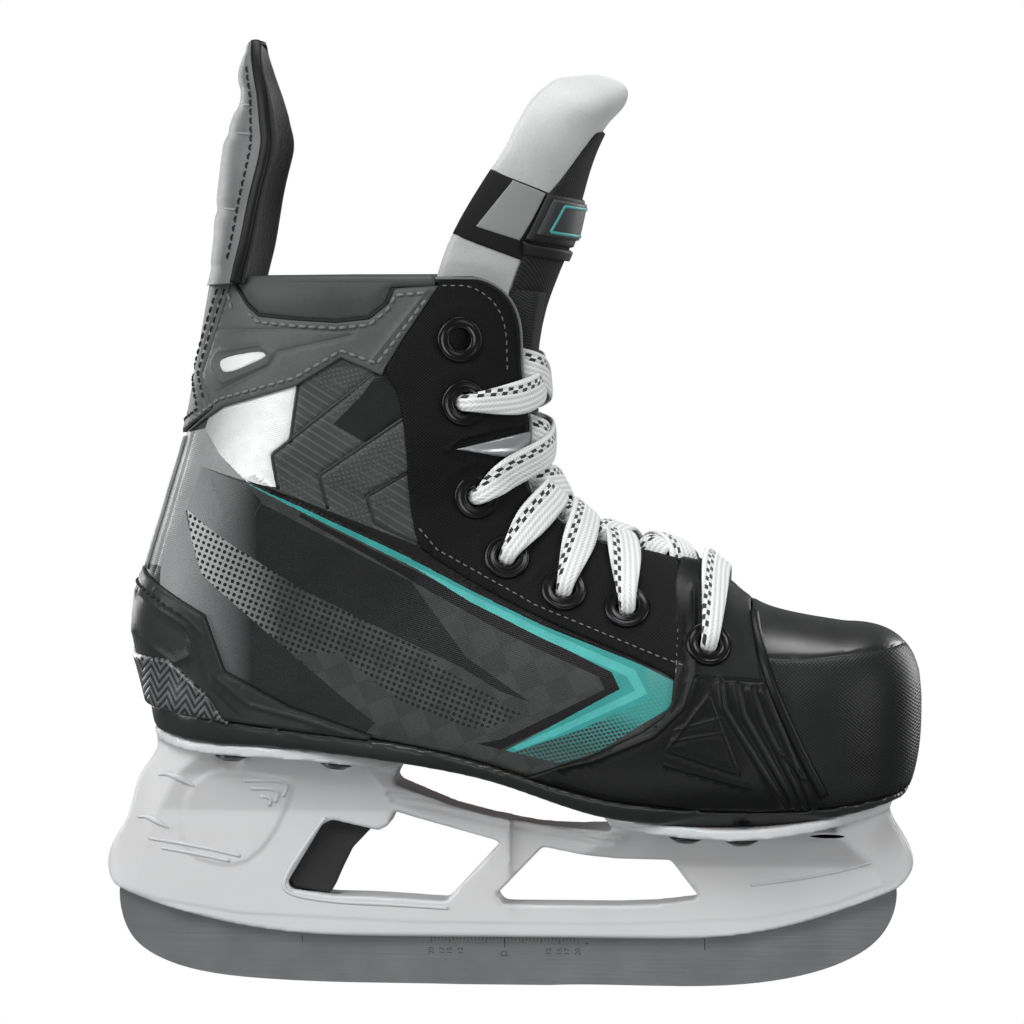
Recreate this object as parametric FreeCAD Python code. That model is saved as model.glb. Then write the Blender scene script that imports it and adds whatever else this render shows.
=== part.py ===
"""Right-foot youth ice hockey skate, built the way the real one is built.

Units are millimetres. +X points to the toe, -Y is the outer (lateral) side of the foot, +Z is up.
The origin is where the runner's centre mark meets the ice, in the middle of the runner's width.

The boot follows one smooth form, cut by sections that fan round a pivot above the arch: upright
sections along the forefoot, tilted ones round the heel, and level ones up the ankle. Every layer of
the boot is the space between two copies of that form, trimmed by outlines drawn in side view.
"""
import FreeCAD, Part
import math
import os

V = FreeCAD.Vector
os.makedirs("parts", exist_ok=True)

# ---------------------------------------------------------------- driving dimensions
RUNNER_THICKNESS = 3.0
SLOT_GAP = 0.3              # free space between the runner and each side of its slot
RUNNER_TUCK = 5.0           # how far the runner reaches up into the holder
FLANGE_THICKNESS = 3.0
RAIL_HALF_WIDTH = 5.4
TRIGGER_WIDTH = 7.6
TRIGGER_GAP = 0.4           # between the trigger and each side of its pocket
PIN_RADIUS = 1.5
PIN_RUNNING_GAP = 0.06
PIN_HALF_LENGTH = 7.0

OVERLAY = 1.0               # outermost stitched or bonded layer
QUARTER = 2.0               # printed skin and its heat-formed board
FOAM = 3.0
LINING = 1.2
SURFACE = 0.0
QUARTER_FACE = -OVERLAY
FOAM_FACE = QUARTER_FACE - QUARTER
LINING_FACE = FOAM_FACE - FOAM
CAVITY_FACE = LINING_FACE - LINING
BOARD_THICKNESS = 2.0
FOOTBED_THICKNESS = 3.5

EYELET_BORE = 2.9
EYELET_BARREL = 3.5
EYELET_FLANGE = 5.9
EYELET_FLANGE_HEIGHT = 1.1
RIVET_SHANK = 2.0
RIVET_HEAD = 4.3
RIVET_HEAD_HEIGHT = 1.7
WASHER_RADIUS = 4.6
WASHER_HEIGHT = 0.9
LACE_RADIUS = 1.1
AGLET_RADIUS = 1.3
AGLET_LENGTH = 14.0

WRAP_ANGLE = math.radians(72)   # how far round the shin the tongue and tendon guard curve
REACH = 90.0                # wider than half of the skate: how far cutting prisms run
LATERAL = -1
MEDIAL = 1

# ---------------------------------------------------------------- the form of the boot
PIVOT_X = 36.6              # the sections fan round this line
PIVOT_Z = 150.9
NOSE_X = 112.7
NOSE_Z = 78.0
CLOSE_FROM_X = 92.0         # the toe starts to close in height here
NARROW_FROM_X = 78.0        # and in width here
CLOSE_POWER = 2.6
NARROW_POWER = 2.3
TOE_OFFSET_FROM_X = 66.0
RING_POINTS = 24

# Each list gives (station, value). A station is minus the distance ahead of the pivot along the
# forefoot, then the fan's angle in degrees up to 90, then 90 plus the height above the pivot.
INSTEP_RADIUS = [(-55.4, 51.9), (-44.4, 50.1), (-35.4, 47.9), (-29.4, 44.9), (-23.4, 39.9),
                 (-16.4, 34.9), (-8.4, 31.9), (0, 29.5), (24, 28.4), (50, 27.6), (78, 26.4),
                 (90, 26.0), (106, 27.6), (123, 25.4), (140, 21.0)]
SOLE_RADIUS = [(-55.4, 106.9), (-27.4, 107.5), (0, 109.9), (20, 107.4), (34, 116.9),
               (44, 130.6), (51, 145), (55, 154), (58.7, 154.2), (62, 151.2), (68.7, 147.5),
               (74.9, 139.4), (81.7, 130.7), (90, 124), (106, 120.6), (123, 117.6), (140, 114.6)]
WIDEST_RADIUS = [(-55.4, 79), (0, 78), (20, 80), (34, 86), (44, 94), (51, 103), (58.7, 112),
                 (68.7, 112), (74.9, 106), (81.7, 97), (90, 88), (106, 84), (140, 78)]
HALF_WIDTH = [(-41.4, 35.8), (-27.4, 37.4), (-13.4, 37.6), (0, 36.4), (20, 34), (34, 31.6),
              (44, 30), (51, 29), (58.7, 28.6), (68.7, 29), (74.9, 30), (81.7, 31.4), (90, 32.4),
              (106, 32.8), (123, 31.8), (140, 30.5)]
INSTEP_POWER = [(-55.4, 2.7), (-27.4, 2.3), (0, 2.1), (34, 2.4), (58.7, 2.8), (90, 3.0), (140, 2.8)]
SOLE_POWER = [(-55.4, 3.4), (0, 3.2), (34, 3.2), (51, 3.0), (58.7, 2.6), (68.7, 2.2), (90, 2.0),
              (140, 2.0)]
MIDLINE = [(-76, 3.5), (-40, 3.5), (-13, 2.2), (20, 0.4), (50, 0), (140, 0)]
TOE_STATIONS = [PIVOT_X - x for x in (112.62, 112.1, 110.6, 108.1, 104.4, 99.2, 92, 84, 75, 66, 58, 50, 43)]
STATIONS = TOE_STATIONS + [0, 12, 24, 34, 44, 51, 55, 58.7, 62, 66, 70, 74.9, 80, 85, 90, 98, 106,
                           115, 123, 132, 140]

# ---------------------------------------------------------------- side-view outlines, (x, z)
SOLE_TOP = [(-104, 79), (-96.5, 78), (-79.7, 75.1), (-54.7, 71.8), (-33.9, 69.4), (-11.7, 65.4),
            (9.2, 59.3), (29.8, 53.9), (53.4, 51.3), (69.9, 50.6), (89.2, 52), (107, 55), (116, 57)]
SOLE_BOTTOM = [(-104, 73.5), (-95.4, 71), (-88.6, 69), (-66.9, 66.9), (-43.9, 65.1), (-24.4, 62.6),
               (-12.2, 60.6), (0, 57.7), (12.2, 53.7), (24.4, 49.7), (47.2, 46.6), (63.4, 45.9),
               (79.4, 47.2), (95.4, 50.1), (106.2, 52.8), (116, 55.6)]
HOLDER_FOOT = [(-105.4, 26.3), (-78.3, 17.5), (-55.6, 14.1), (-23, 13.3), (31.2, 13.3),
               (54.2, 13.7), (74, 16.5), (87.5, 20.3), (106.2, 27.6)]
HOLDER_HEEL = [(-95.4, 71.2), (-94.3, 64.8), (-98.9, 57.7), (-100.5, 53.4), (-103, 45.3),
               (-106.8, 39), (-108.4, 32.2), (-107.3, 28.2), (-105.4, 26.3)]
HOLDER_NOSE = [(106.2, 27.6), (108.4, 29.5), (110.6, 33.5), (108.9, 40.1), (106.2, 44.4),
               (104.3, 49.3), (106.2, 52.8)]
RUNNER_EDGE = [(-105.4, 26.3), (-104.9, 19.2), (-101.6, 11.9), (-93.5, 6.2), (-81.3, 2.7),
               (-65, 1), (-40, 0.2), (-12, 0)]
RUNNER_TIP = [(12, 0), (40, 0.1), (65, 0.8), (81.3, 3.5), (93.5, 7.9), (101.6, 13.8), (105.4, 20.5),
              (106.2, 27.6)]
UPPER_GAP = [(-24.1, 66), (-24.1, 62.4), (-27.4, 61), (-29.8, 56.6), (-28.7, 55.3), (-13.3, 49.3),
             (-2.7, 46.6), (10.3, 44.4), (20.6, 43.6), (30.4, 43.5), (29.6, 45.6), (27.4, 48),
             (24.1, 49.4), (24.1, 66)]
REAR_WINDOW = [(-49.1, 44.2), (-46.3, 45.5), (-33.9, 42.6), (-31.2, 43.9), (-29.5, 48),
               (-18.4, 44.7), (-7.9, 41.7), (-0.3, 39.6), (-15.4, 23.3), (-33.9, 24.4),
               (-46.1, 24.6), (-57.7, 26.3), (-58.8, 28.2)]
FRONT_WINDOW = [(10.6, 38.2), (20.6, 36.6), (30.9, 35.5), (45.3, 35.2), (53.4, 24.4), (42, 23),
                (30.9, 22.5), (0, 22.5), (-2.2, 24.9)]
REAR_WIDTHS = [(12, 4.6), (14.5, 5.4), (24, 6.4), (36, 7.4), (48, 9.2), (58, 12.5), (66, 18), (74, 26)]
FRONT_WIDTHS = [(12, 4.6), (14.5, 5.4), (24, 6.0), (34, 7.4), (41, 12), (46, 18), (56, 28)]
REAR_TOWER_PLAN = [(-110, 0), (-107, 4.6), (-100, 6.6), (-92, 10), (-82, 16), (-66, 20), (-48, 19),
                   (-34, 12), (-20, 8.4), (2, 7.6)]
FRONT_TOWER_PLAN = [(-4, 7.6), (20, 8.4), (32, 14), (46, 20), (64, 22), (82, 18), (94, 11),
                    (103, 6.4), (109, 4.6), (112, 0)]
REAR_FLANGE_PLAN = [(-95.6, 0), (-93.6, 10), (-87, 18), (-74, 23), (-56, 24.5), (-38, 22),
                    (-28, 16), (-23, 0)]
FRONT_FLANGE_PLAN = [(22, 0), (25, 14), (36, 23.5), (52, 28.5), (68, 29), (84, 25), (96, 17),
                     (104, 8), (106.4, 0)]

TRIGGER_PIVOT = (-42.0, 50.0)
TRIGGER_HUB = 4.4
TRIGGER_BLADE = [(-46.4, 50), (-52.4, 43), (-59.0, 29), (-57.4, 26.4), (-47.6, 24.8), (-46.3, 27),
                 (-44.4, 31.4), (-41.7, 36.9), (-36.3, 42.6), (-37.6, 50)]
TRIGGER_HOOK = [(-56, 27), (-52, 16.4), (-50.8, 15.4), (-45.6, 15.4), (-45.2, 16.2), (-47.6, 20.2),
                (-48.6, 27)]
RUNNER_LUG = [(-47.0, 20.6), (-44.6, 16.6), (-44.6, 14.6), (-36, 14.6), (-36, 20), (-37.4, 21.4),
              (-46.2, 21.4)]
HOOK_RECESS = [(-54.4, 14.9), (-44.5, 14.9), (-44.5, 30), (-54.4, 30)]
TRIGGER_POCKET = [(-35.8, 54.8), (-47.4, 54.8), (-58, 46), (-68, 31), (-66, 26), (-46, 25), (-35.8, 42)]
HOOK_POCKET = [(-65, 27), (-62.6, 17), (-54, 14), (-36, 14), (-35.4, 21.9), (-43, 22.4), (-46.4, 26)]
FRONT_POST = [(67, 14), (76, 17), (76, 24), (79, 25.6), (79, 28), (70, 28), (67, 25)]
FRONT_POST_POCKET = [(66, 14), (77, 17), (77.2, 23), (80.4, 25), (80.4, 29.2), (69.4, 29.2), (66, 26)]

TOE_EDGE = [(66, 104), (66.4, 98), (70.5, 82), (78, 65), (86.7, 48)]
COLLAR_HEIGHT = 193.0
COLLAR_LOWER = [(-14.9, 191.6), (-31.7, 168), (-32.5, 165.9), (-43.4, 170.7), (-55.6, 163.1),
                (-76.7, 157.2), (-87.8, 150.1)]
EYESTAY_LOWER = [(-32.5, 165.9), (-27.6, 159), (-25.6, 122), (-20.3, 115.7), (6.8, 100.8), (40.7, 87.3),
                 (48.6, 84.5)]
WRAP_REAR = [(50.5, 118), (48.6, 110), (50, 80), (40.7, 66), (15, 57.5), (8, 48)]
HEEL_OVERLAY_TOP = [(-112, 117), (-98.1, 113), (-78.6, 102.2), (-73.2, 87.3), (-55.6, 77.8), (-33.9, 71.6),
                    (-33.9, 60)]
HEEL_SUPPORT_TOP = [(-112, 92), (-88, 90.5), (-77, 81), (-73, 70)]
GUARD_STRAP = [(-74, 194), (-80.5, 166), (-77.2, 157.2), (-87.8, 150.1), (-112, 147), (-112, 194)]
BACK_STRIP = [(-85.4, 149.5), (-96.4, 113), (-112, 117), (-112, 149.5)]
# (station, half width) of the opening between the two eyestays
THROAT = [(-26, 7), (-14, 10.5), (12, 12.5), (40, 14.5), (65, 16), (90, 17), (115, 19.5), (145, 23)]
THROAT_DEPTH = 12.0

EYELETS = [(-10.0, 175.9), (-8.9, 159.1), (-6.0, 134.1), (2.2, 117.9), (17.6, 109.5), (34.4, 104.9),
           (56.1, 95.4)]
# (x, distance from the middle) of the rivets
# The stiff corner of each side round its top eyelet
FACING = [(-31, 167.5), (20, 167.5), (20, 200), (-31, 200)]
REAR_RIVETS = [(-72.4, 18.2), (-43.9, 18.0)]
FRONT_RIVETS = [(50.1, 22.4), (64.8, 23.4), (87.3, 18.2)]

# Cross-sections of the tongue and tendon guard from the bottom up, in side view:
# (middle of the outer face, side edge, half width)
TONGUE_SECTIONS = [((11.4, 184.8), (-17.4, 189), 20.5), ((14.2, 193), (-15.7, 199.7), 23.5),
                   ((18.2, 202.5), (-11.4, 210), 27), ((21, 213.3), (-5.4, 219.2), 28.5),
                   ((24.2, 224.1), (0, 229.5), 27.5), ((28, 233.6), (6.8, 238.9), 23.5),
                   ((32, 240.6), (14.4, 243.8), 16), ((31.4, 244), (19.4, 245.8), 8)]
TONGUE_FACE = 1.4           # woven cloth bonded to the front of the felt
TONGUE_FELT = 6.4
TONGUE_FACE_SHARE = 0.62    # of the felt's width
TONGUE_HINGE = (12.0, 184.4)
TONGUE_CROWN = -2.6         # top of the lower tongue between the eyestays, against the form
TONGUE_WING = -10.0         # top of its wings, which pass under the lining
TONGUE_BACK = -13.2
TONGUE_CROWN_INSET = 6.0
TONGUE_WING_REACH = 8.0
TONGUE_TOE_X = 60.0
GUARD_SECTIONS = [((-80.6, 194), (-65.9, 194.6), 26), ((-79.1, 201.4), (-64.6, 202), 25.5),
                  ((-77.8, 213.3), (-61.5, 213.3), 23.5), ((-76.2, 227.4), (-58.8, 226.8), 20),
                  ((-73.2, 240.4), (-61, 240.4), 15.5), ((-71.6, 250), (-63.8, 249.4), 11),
                  ((-70, 256.6), (-66.2, 256), 6)]
GUARD_SHELL = 2.6
GUARD_LINING = 3.6
GUARD_HINGE = (-72.0, 194.4)
GUARD_FOOT = [(-90, 199), (-72, 194.5), (-50, 199), (-50, 262), (-90, 262)]

EYESTAY_INSERT = [(-13.6, 145.5), (5.4, 149.9), (12, 149.9), (12, 142), (5.4, 142)]
COLLAR_INSERT = [(-77.5, 170.5), (-65.9, 172.6), (-64.2, 171.3), (-76.2, 165.6), (-78.3, 168)]
INSERT_PROUD = 0.4
INSERT_SUNK = 0.6

# Height of the lace above the form where it passes over an eyestay's edge, over the tongue, down
# beside the tongue's crown, and under the far eyestay.
LACE_OVER_EDGE = 1.7
LACE_OVER_TONGUE = (1.5, -1.1)
LACE_BESIDE_CROWN = -1.0
LACE_UNDER = -8.5
LACE_STAND_OFF = 2.6


# ---------------------------------------------------------------- building blocks
def keyed(keys, station):
    """Value at a station, by a monotone cubic through (station, value) keys."""
    if station <= keys[0][0]:
        return keys[0][1]
    if station >= keys[-1][0]:
        return keys[-1][1]
    slopes = [(b[1] - a[1]) / (b[0] - a[0]) for a, b in zip(keys, keys[1:])]
    tangents = [slopes[0]]
    for before, after in zip(slopes, slopes[1:]):
        tangents.append(0.0 if before * after <= 0 else 2 * before * after / (before + after))
    tangents.append(slopes[-1])
    index = next(i for i in range(len(slopes)) if station <= keys[i + 1][0])
    (start, low), (end, high) = keys[index], keys[index + 1]
    span = end - start
    t = (station - start) / span
    return ((2 * t**3 - 3 * t**2 + 1) * low + (t**3 - 2 * t**2 + t) * span * tangents[index]
            + (3 * t**2 - 2 * t**3) * high + (t**3 - t**2) * span * tangents[index + 1])


def closing(x, start, power):
    """How much of its full size the toe still has at x."""
    t = min(1.0, max(0.0, (x - start) / (NOSE_X - start)))
    return (1 - t**power) ** (1 / power)


def section_sizes(station, offset):
    """Instep, sole and widest radii and the half width of one section."""
    instep = keyed(INSTEP_RADIUS, station) - offset
    sole = keyed(SOLE_RADIUS, station) + offset
    widest = keyed(WIDEST_RADIUS, station)
    width = keyed(HALF_WIDTH, station) + offset
    if station < 0:
        x = PIVOT_X - station
        height_left = closing(x, CLOSE_FROM_X, CLOSE_POWER)
        nose = PIVOT_Z - NOSE_Z
        instep, sole, widest = (nose + (r - nose) * height_left for r in (instep, sole, widest))
        width *= closing(x, NARROW_FROM_X, NARROW_POWER)
    return instep, sole, widest, width


def form_point(station, angle, offset):
    """A point of the form, at an angle round its section: 0 at the sole, pi at the instep."""
    instep, sole, widest, width = section_sizes(station, offset)
    across, along = math.sin(angle), math.cos(angle)
    if along > 0:
        power = keyed(SOLE_POWER, station)
        radius = widest + (sole - widest) * abs(along) ** (2 / power)
    else:
        power = keyed(INSTEP_POWER, station)
        radius = widest - (widest - instep) * abs(along) ** (2 / power)
    y = keyed(MIDLINE, station) - math.copysign(width * abs(across) ** (2 / power), across)
    tilt = math.radians(min(max(station, 0), 90))
    x = PIVOT_X - radius * math.sin(tilt)
    if station < 0:
        toe = max(0.0, (PIVOT_X - station - TOE_OFFSET_FROM_X) / (NOSE_X - TOE_OFFSET_FROM_X))
        x = PIVOT_X - station + offset * toe**2
    return V(x, y, PIVOT_Z + max(0.0, station - 90) - radius * math.cos(tilt))


def side_point(x, z, side, offset):
    """The form's point at (x, z) in side view, on the lateral or the medial side."""
    if z > PIVOT_Z:
        station, radius = 90 + z - PIVOT_Z, PIVOT_X - x
    elif x > PIVOT_X:
        station, radius = PIVOT_X - x, PIVOT_Z - z
    else:
        station = math.degrees(math.atan2(PIVOT_X - x, PIVOT_Z - z))
        radius = math.hypot(PIVOT_X - x, PIVOT_Z - z)
    instep, sole, widest, width = section_sizes(station, offset)
    if radius > widest:
        power = keyed(SOLE_POWER, station)
        along = min(1.0, (radius - widest) / (sole - widest)) ** (power / 2)
    else:
        power = keyed(INSTEP_POWER, station)
        along = min(1.0, (widest - radius) / (widest - instep)) ** (power / 2)
    reach = width * math.sqrt(1 - along**2) ** (2 / power)
    return V(x, keyed(MIDLINE, station) + side * reach, z)


def side_normal(x, z, side):
    """The outward normal of the form at (x, z) in side view."""
    step = 0.8
    along = side_point(x + step, z, side, SURFACE) - side_point(x - step, z, side, SURFACE)
    upward = side_point(x, z + step, side, SURFACE) - side_point(x, z - step, side, SURFACE)
    normal = along.cross(upward)
    return normal.normalize() * (-1 if normal.y * side < 0 else 1)


def skin(rings):
    """A solid whose smooth side passes through closed rings of points, with a flat cap on each end."""
    count = len(rings[0])
    steps = [float(i) for i in range(count + 1)]
    curves = []
    for ring in rings:
        curve = Part.BSplineCurve()
        curve.interpolate(Points=ring, PeriodicFlag=True, Parameters=steps)
        curves.append(curve)
    poles = [curve.getPoles() for curve in curves]
    spacing = [0.0]
    for a, b in zip(poles, poles[1:]):
        spacing.append(spacing[-1] + max(0.5, sum(p.distanceToPoint(q) for p, q in zip(a, b)) / len(a)))
    columns = []
    for column in zip(*poles):
        curve = Part.BSplineCurve()
        curve.interpolate(Points=list(column), Parameters=spacing)
        columns.append(curve)
    surface = Part.BSplineSurface()
    surface.buildFromPolesMultsKnots(
        [list(row) for row in zip(*[c.getPoles() for c in columns])],
        columns[0].getMultiplicities(), curves[0].getMultiplicities(),
        columns[0].getKnots(), curves[0].getKnots(), False, True,
        columns[0].Degree, curves[0].Degree)
    side = surface.toShape()
    caps = [Part.Face(Part.Wire([edge])) for edge in side.Edges if edge.isClosed() and not edge.isSeam(side)]
    shell = Part.makeShell([side] + caps)
    shell.sewShape()
    solid = Part.Solid(shell)
    if solid.Volume < 0:
        solid.reverse()
    return solid


def form_solid(offset):
    """The whole form, grown or shrunk by an offset."""
    angles = [2 * math.pi * (i + 0.5) / RING_POINTS for i in range(RING_POINTS)]
    return skin([[form_point(station, angle, offset) for angle in angles] for station in STATIONS])


def smooth(points, y=0.0):
    """A smooth edge through side-view points."""
    curve = Part.BSplineCurve()
    curve.interpolate([V(x, y, z) for x, z in points])
    return curve.toShape()


def straight(points, y=0.0):
    """Straight edges through side-view points."""
    corners = [V(x, y, z) for x, z in points]
    return [Part.LineSegment(a, b).toShape() for a, b in zip(corners, corners[1:])]


def prism(outline, low=-REACH, high=REACH):
    """A side-view outline run across the skate from low to high."""
    edges = straight(outline + outline[:1], low)
    return Part.Face(Part.Wire(edges)).extrude(V(0, high - low, 0))


def band(lower, upper, low=-REACH, high=REACH):
    """The space between two smooth side-view lines that run the same way."""
    bottom, top = smooth(lower, low), smooth(upper, low)
    ends = [straight([lower[-1], upper[-1]], low)[0], straight([upper[0], lower[0]], low)[0]]
    return Part.Face(Part.Wire([bottom, ends[0], top, ends[1]])).extrude(V(0, high - low, 0))


def raised(points, height):
    return [(x, z + height) for x, z in points]


def plan_prism(half_outline, low, high):
    """A plan outline, symmetric about the middle, run from one height to another."""
    far_side = [V(x, y, low) for x, y in half_outline]
    near_side = [V(x, -y, low) for x, y in half_outline]
    edges = []
    for side in (far_side, near_side):
        curve = Part.BSplineCurve()
        curve.interpolate(side)
        edges.append(curve.toShape())
    gaps = [(far_side[i], near_side[i]) for i in (0, -1)]
    edges += [Part.LineSegment(a, b).toShape() for a, b in gaps if a.distanceToPoint(b) > 0.01]
    return Part.Face(Part.Wire(Part.sortEdges(edges)[0])).extrude(V(0, 0, high - low))


def flared(widths, low_x, high_x):
    """A bar along X whose half width changes with height, in flat facets."""
    far_side = [V(low_x, y, z) for z, y in widths]
    near_side = [V(low_x, -y, z) for z, y in reversed(widths)]
    section = Part.makePolygon(far_side + near_side + far_side[:1])
    return Part.Face(section).extrude(V(high_x - low_x, 0, 0))


def one_side(shape, side):
    """The lateral or the medial half of a shape."""
    low, high = sorted((0, side * REACH))
    return shape.common(Part.makeBox(3 * REACH, high - low, 4 * REACH, V(-1.5 * REACH, low, -10)))


def write(name, shape):
    """Save the solids of one sub-part."""
    solids = [s for s in shape.Solids if s.Volume > 0.5]
    if not solids:
        raise ValueError("no solid in " + name)
    result = solids[0] if len(solids) == 1 else Part.makeCompound(solids)
    if not result.isValid():
        print("not valid:", name)
    result.exportStep("parts/" + name + ".step")
    box = result.BoundBox
    print(f"{name:28s} {len(solids):3d} solids {result.Volume:10.1f} mm3"
          f"  x {box.XMin:7.1f} {box.XMax:7.1f}  y {box.YMin:6.1f} {box.YMax:6.1f}"
          f"  z {box.ZMin:6.1f} {box.ZMax:6.1f}")


# ---------------------------------------------------------------- skate blade holder
def holder_profile():
    """The holder's side view, filled: heel, foot, nose and a top above the sole."""
    top = [HOLDER_NOSE[-1], (HOLDER_NOSE[-1][0], 90), (HOLDER_HEEL[0][0], 90), HOLDER_HEEL[0]]
    edges = [smooth(HOLDER_HEEL, -REACH), smooth(HOLDER_FOOT, -REACH), smooth(HOLDER_NOSE, -REACH)]
    filled = Part.Face(Part.Wire(edges + straight(top, -REACH))).extrude(V(0, 2 * REACH, 0))
    return filled.cut(band(SOLE_BOTTOM, raised(SOLE_BOTTOM, 60)))


def tower(profile, widths, plan, low_x, high_x):
    return profile.common(flared(widths, low_x, high_x)).common(plan_prism(plan, 0, 90))


def flange(profile, plan):
    under_sole = band(raised(SOLE_BOTTOM, -FLANGE_THICKNESS), raised(SOLE_BOTTOM, 1))
    return profile.common(under_sole).common(plan_prism(plan, 0, 90))


def slot_top():
    """The slot's ceiling: close over the runner, and higher at the toe, where the tip swings up."""
    rise = [(-120, RUNNER_TUCK + 0.4), (54, RUNNER_TUCK + 0.5), (74, RUNNER_TUCK + 1), (88, RUNNER_TUCK + 2),
            (107, RUNNER_TUCK + 3.4)]
    ends = [(-106.1, 26.6)] + HOLDER_FOOT[1:-1] + [(107.2, 28)]
    return [(x, z + keyed(rise, x)) for x, z in ends]


def make_holder():
    profile = holder_profile()
    body = tower(profile, REAR_WIDTHS, REAR_TOWER_PLAN, -120, 2)
    body = body.fuse([tower(profile, FRONT_WIDTHS, FRONT_TOWER_PLAN, -4, 120),
                      flange(profile, REAR_FLANGE_PLAN), flange(profile, FRONT_FLANGE_PLAN)])
    half_slot = RUNNER_THICKNESS / 2 + SLOT_GAP
    half_pocket = TRIGGER_WIDTH / 2 + TRIGGER_GAP
    ceiling = slot_top()
    cuts = [prism(UPPER_GAP), prism(REAR_WINDOW), prism(FRONT_WINDOW),
            band([(x, 0) for x, z in ceiling], ceiling, -half_slot, half_slot),
            prism(TRIGGER_POCKET, -half_pocket, half_pocket),
            prism(HOOK_POCKET, -half_slot, half_slot),
            prism(FRONT_POST_POCKET, -half_slot, half_slot),
            trigger_axle(PIN_RADIUS, -PIN_HALF_LENGTH, PIN_HALF_LENGTH)]
    cuts += [rivet_part(x, y, RIVET_SHANK, 0, FLANGE_THICKNESS + 1) for x, y in rivet_places()]
    cuts += [rivet_part(x, y, RIVET_HEAD + 0.8, -9, 0) for x, y in rivet_places()]
    return body.cut(cuts)


def make_runner():
    low, high = -RUNNER_THICKNESS / 2, RUNNER_THICKNESS / 2
    tucked = raised(HOLDER_FOOT, RUNNER_TUCK)
    edges = [smooth(RUNNER_EDGE, low), straight([RUNNER_EDGE[-1], RUNNER_TIP[0]], low)[0],
             smooth(RUNNER_TIP, low), straight([RUNNER_TIP[-1], tucked[-1]], low)[0],
             smooth(tucked, low), straight([tucked[0], RUNNER_EDGE[0]], low)[0]]
    blade = Part.Face(Part.Wire(edges)).extrude(V(0, RUNNER_THICKNESS, 0))
    blade = blade.cut(prism(HOOK_RECESS, low - 1, high + 1))
    return blade.fuse([prism(RUNNER_LUG, low, high), prism(FRONT_POST, low, high)]).removeSplitter()


def trigger_axle(radius, low, high):
    x, z = TRIGGER_PIVOT
    return Part.makeCylinder(radius, high - low, V(x, low, z), V(0, 1, 0))


def make_trigger():
    half = TRIGGER_WIDTH / 2
    body = trigger_axle(TRIGGER_HUB, -half, half)
    body = body.fuse([prism(TRIGGER_BLADE, -half, half),
                      prism(TRIGGER_HOOK, -RUNNER_THICKNESS / 2, RUNNER_THICKNESS / 2)])
    spring_room = trigger_axle(TRIGGER_HUB + 0.3, 0.7, half + 1)
    return body.cut([trigger_axle(PIN_RADIUS + PIN_RUNNING_GAP, -half - 1, half + 1), spring_room])


def make_trigger_spring():
    """Three close turns of wire round the pin."""
    x, z = TRIGGER_PIVOT
    return Part.makeCompound([Part.makeTorus(2.6, 0.42, V(x, y, z), V(0, 1, 0)) for y in (1.4, 2.3, 3.2)])


# ---------------------------------------------------------------- rivets
def rivet_places():
    places = REAR_RIVETS + FRONT_RIVETS
    return [(x, side * y) for x, y in places for side in (LATERAL, MEDIAL)]


def sole_frame(x):
    """Height and upward direction of the sole's underside at x."""
    curve = smooth(SOLE_BOTTOM)
    plumb = Part.LineSegment(V(x, 0, 0), V(x, 0, 200)).toShape()
    z = curve.distToShape(plumb)[1][0][0].z
    ahead = Part.LineSegment(V(x + 1, 0, 0), V(x + 1, 0, 200)).toShape()
    slope = curve.distToShape(ahead)[1][0][0].z - z
    return z, V(-slope, 0, 1).normalize()


def rivet_part(x, y, radius, low, high):
    """A cylinder on a rivet's axis, measured up from the flange's underside."""
    z, up = sole_frame(x)
    base = V(x, y, z) + up * (low - FLANGE_THICKNESS)
    return Part.makeCylinder(radius, high - low, base, up)


def rivet_grip(x):
    """Flange, sole and board thickness along a rivet."""
    top = keyed(SOLE_TOP, x)
    return FLANGE_THICKNESS + (top - sole_frame(x)[0]) + BOARD_THICKNESS + 0.3


def make_rivet(x, y):
    z, up = sole_frame(x)
    under = V(x, y, z) - up * FLANGE_THICKNESS
    rim = Part.makeCylinder(RIVET_HEAD, 0.6, under - up * 0.6, up)
    dome_foot = under - up * RIVET_HEAD_HEIGHT
    dome = Part.makeCone(RIVET_HEAD * 0.55, RIVET_HEAD, RIVET_HEAD_HEIGHT - 0.6, dome_foot, up)
    shank = rivet_part(x, y, RIVET_SHANK, 0, rivet_grip(x) + WASHER_HEIGHT)
    upset = Part.makeCylinder(RIVET_SHANK * 1.5, 0.8, under + up * (rivet_grip(x) + WASHER_HEIGHT), up)
    return rim.fuse([dome, shank, upset]).removeSplitter()


def make_washer(x, y):
    grip = rivet_grip(x)
    ring = rivet_part(x, y, WASHER_RADIUS, grip, grip + WASHER_HEIGHT)
    return ring.cut(rivet_part(x, y, RIVET_SHANK, grip - 1, grip + WASHER_HEIGHT + 1))


# ---------------------------------------------------------------- boot
def throat(extra, depth):
    """The wedge between the eyestays, widened by extra, down to a depth below the instep."""
    wires = []
    for station, half in THROAT:
        tilt = math.radians(min(max(station, 0), 90))
        ahead, above = max(0.0, -station), max(0.0, station - 90)
        middle = keyed(MIDLINE, station)
        corners = []
        for radius, sign in ((3, -1), (3, 1), (keyed(INSTEP_RADIUS, station) + depth, 1),
                             (keyed(INSTEP_RADIUS, station) + depth, -1)):
            corners.append(V(PIVOT_X + ahead - radius * math.sin(tilt), middle + sign * (half + extra),
                             PIVOT_Z + above - radius * math.cos(tilt)))
        wires.append(Part.makePolygon(corners + corners[:1]))
    return Part.makeLoft(wires, True, True)


def eyelet_frame(place, side):
    x, z = place
    return side_point(x, z, side, SURFACE), side_normal(x, z, side)


def eyelet_cylinder(place, side, radius, low, high):
    point, normal = eyelet_frame(place, side)
    return Part.makeCylinder(radius, high - low, point + normal * low, normal)


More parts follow.
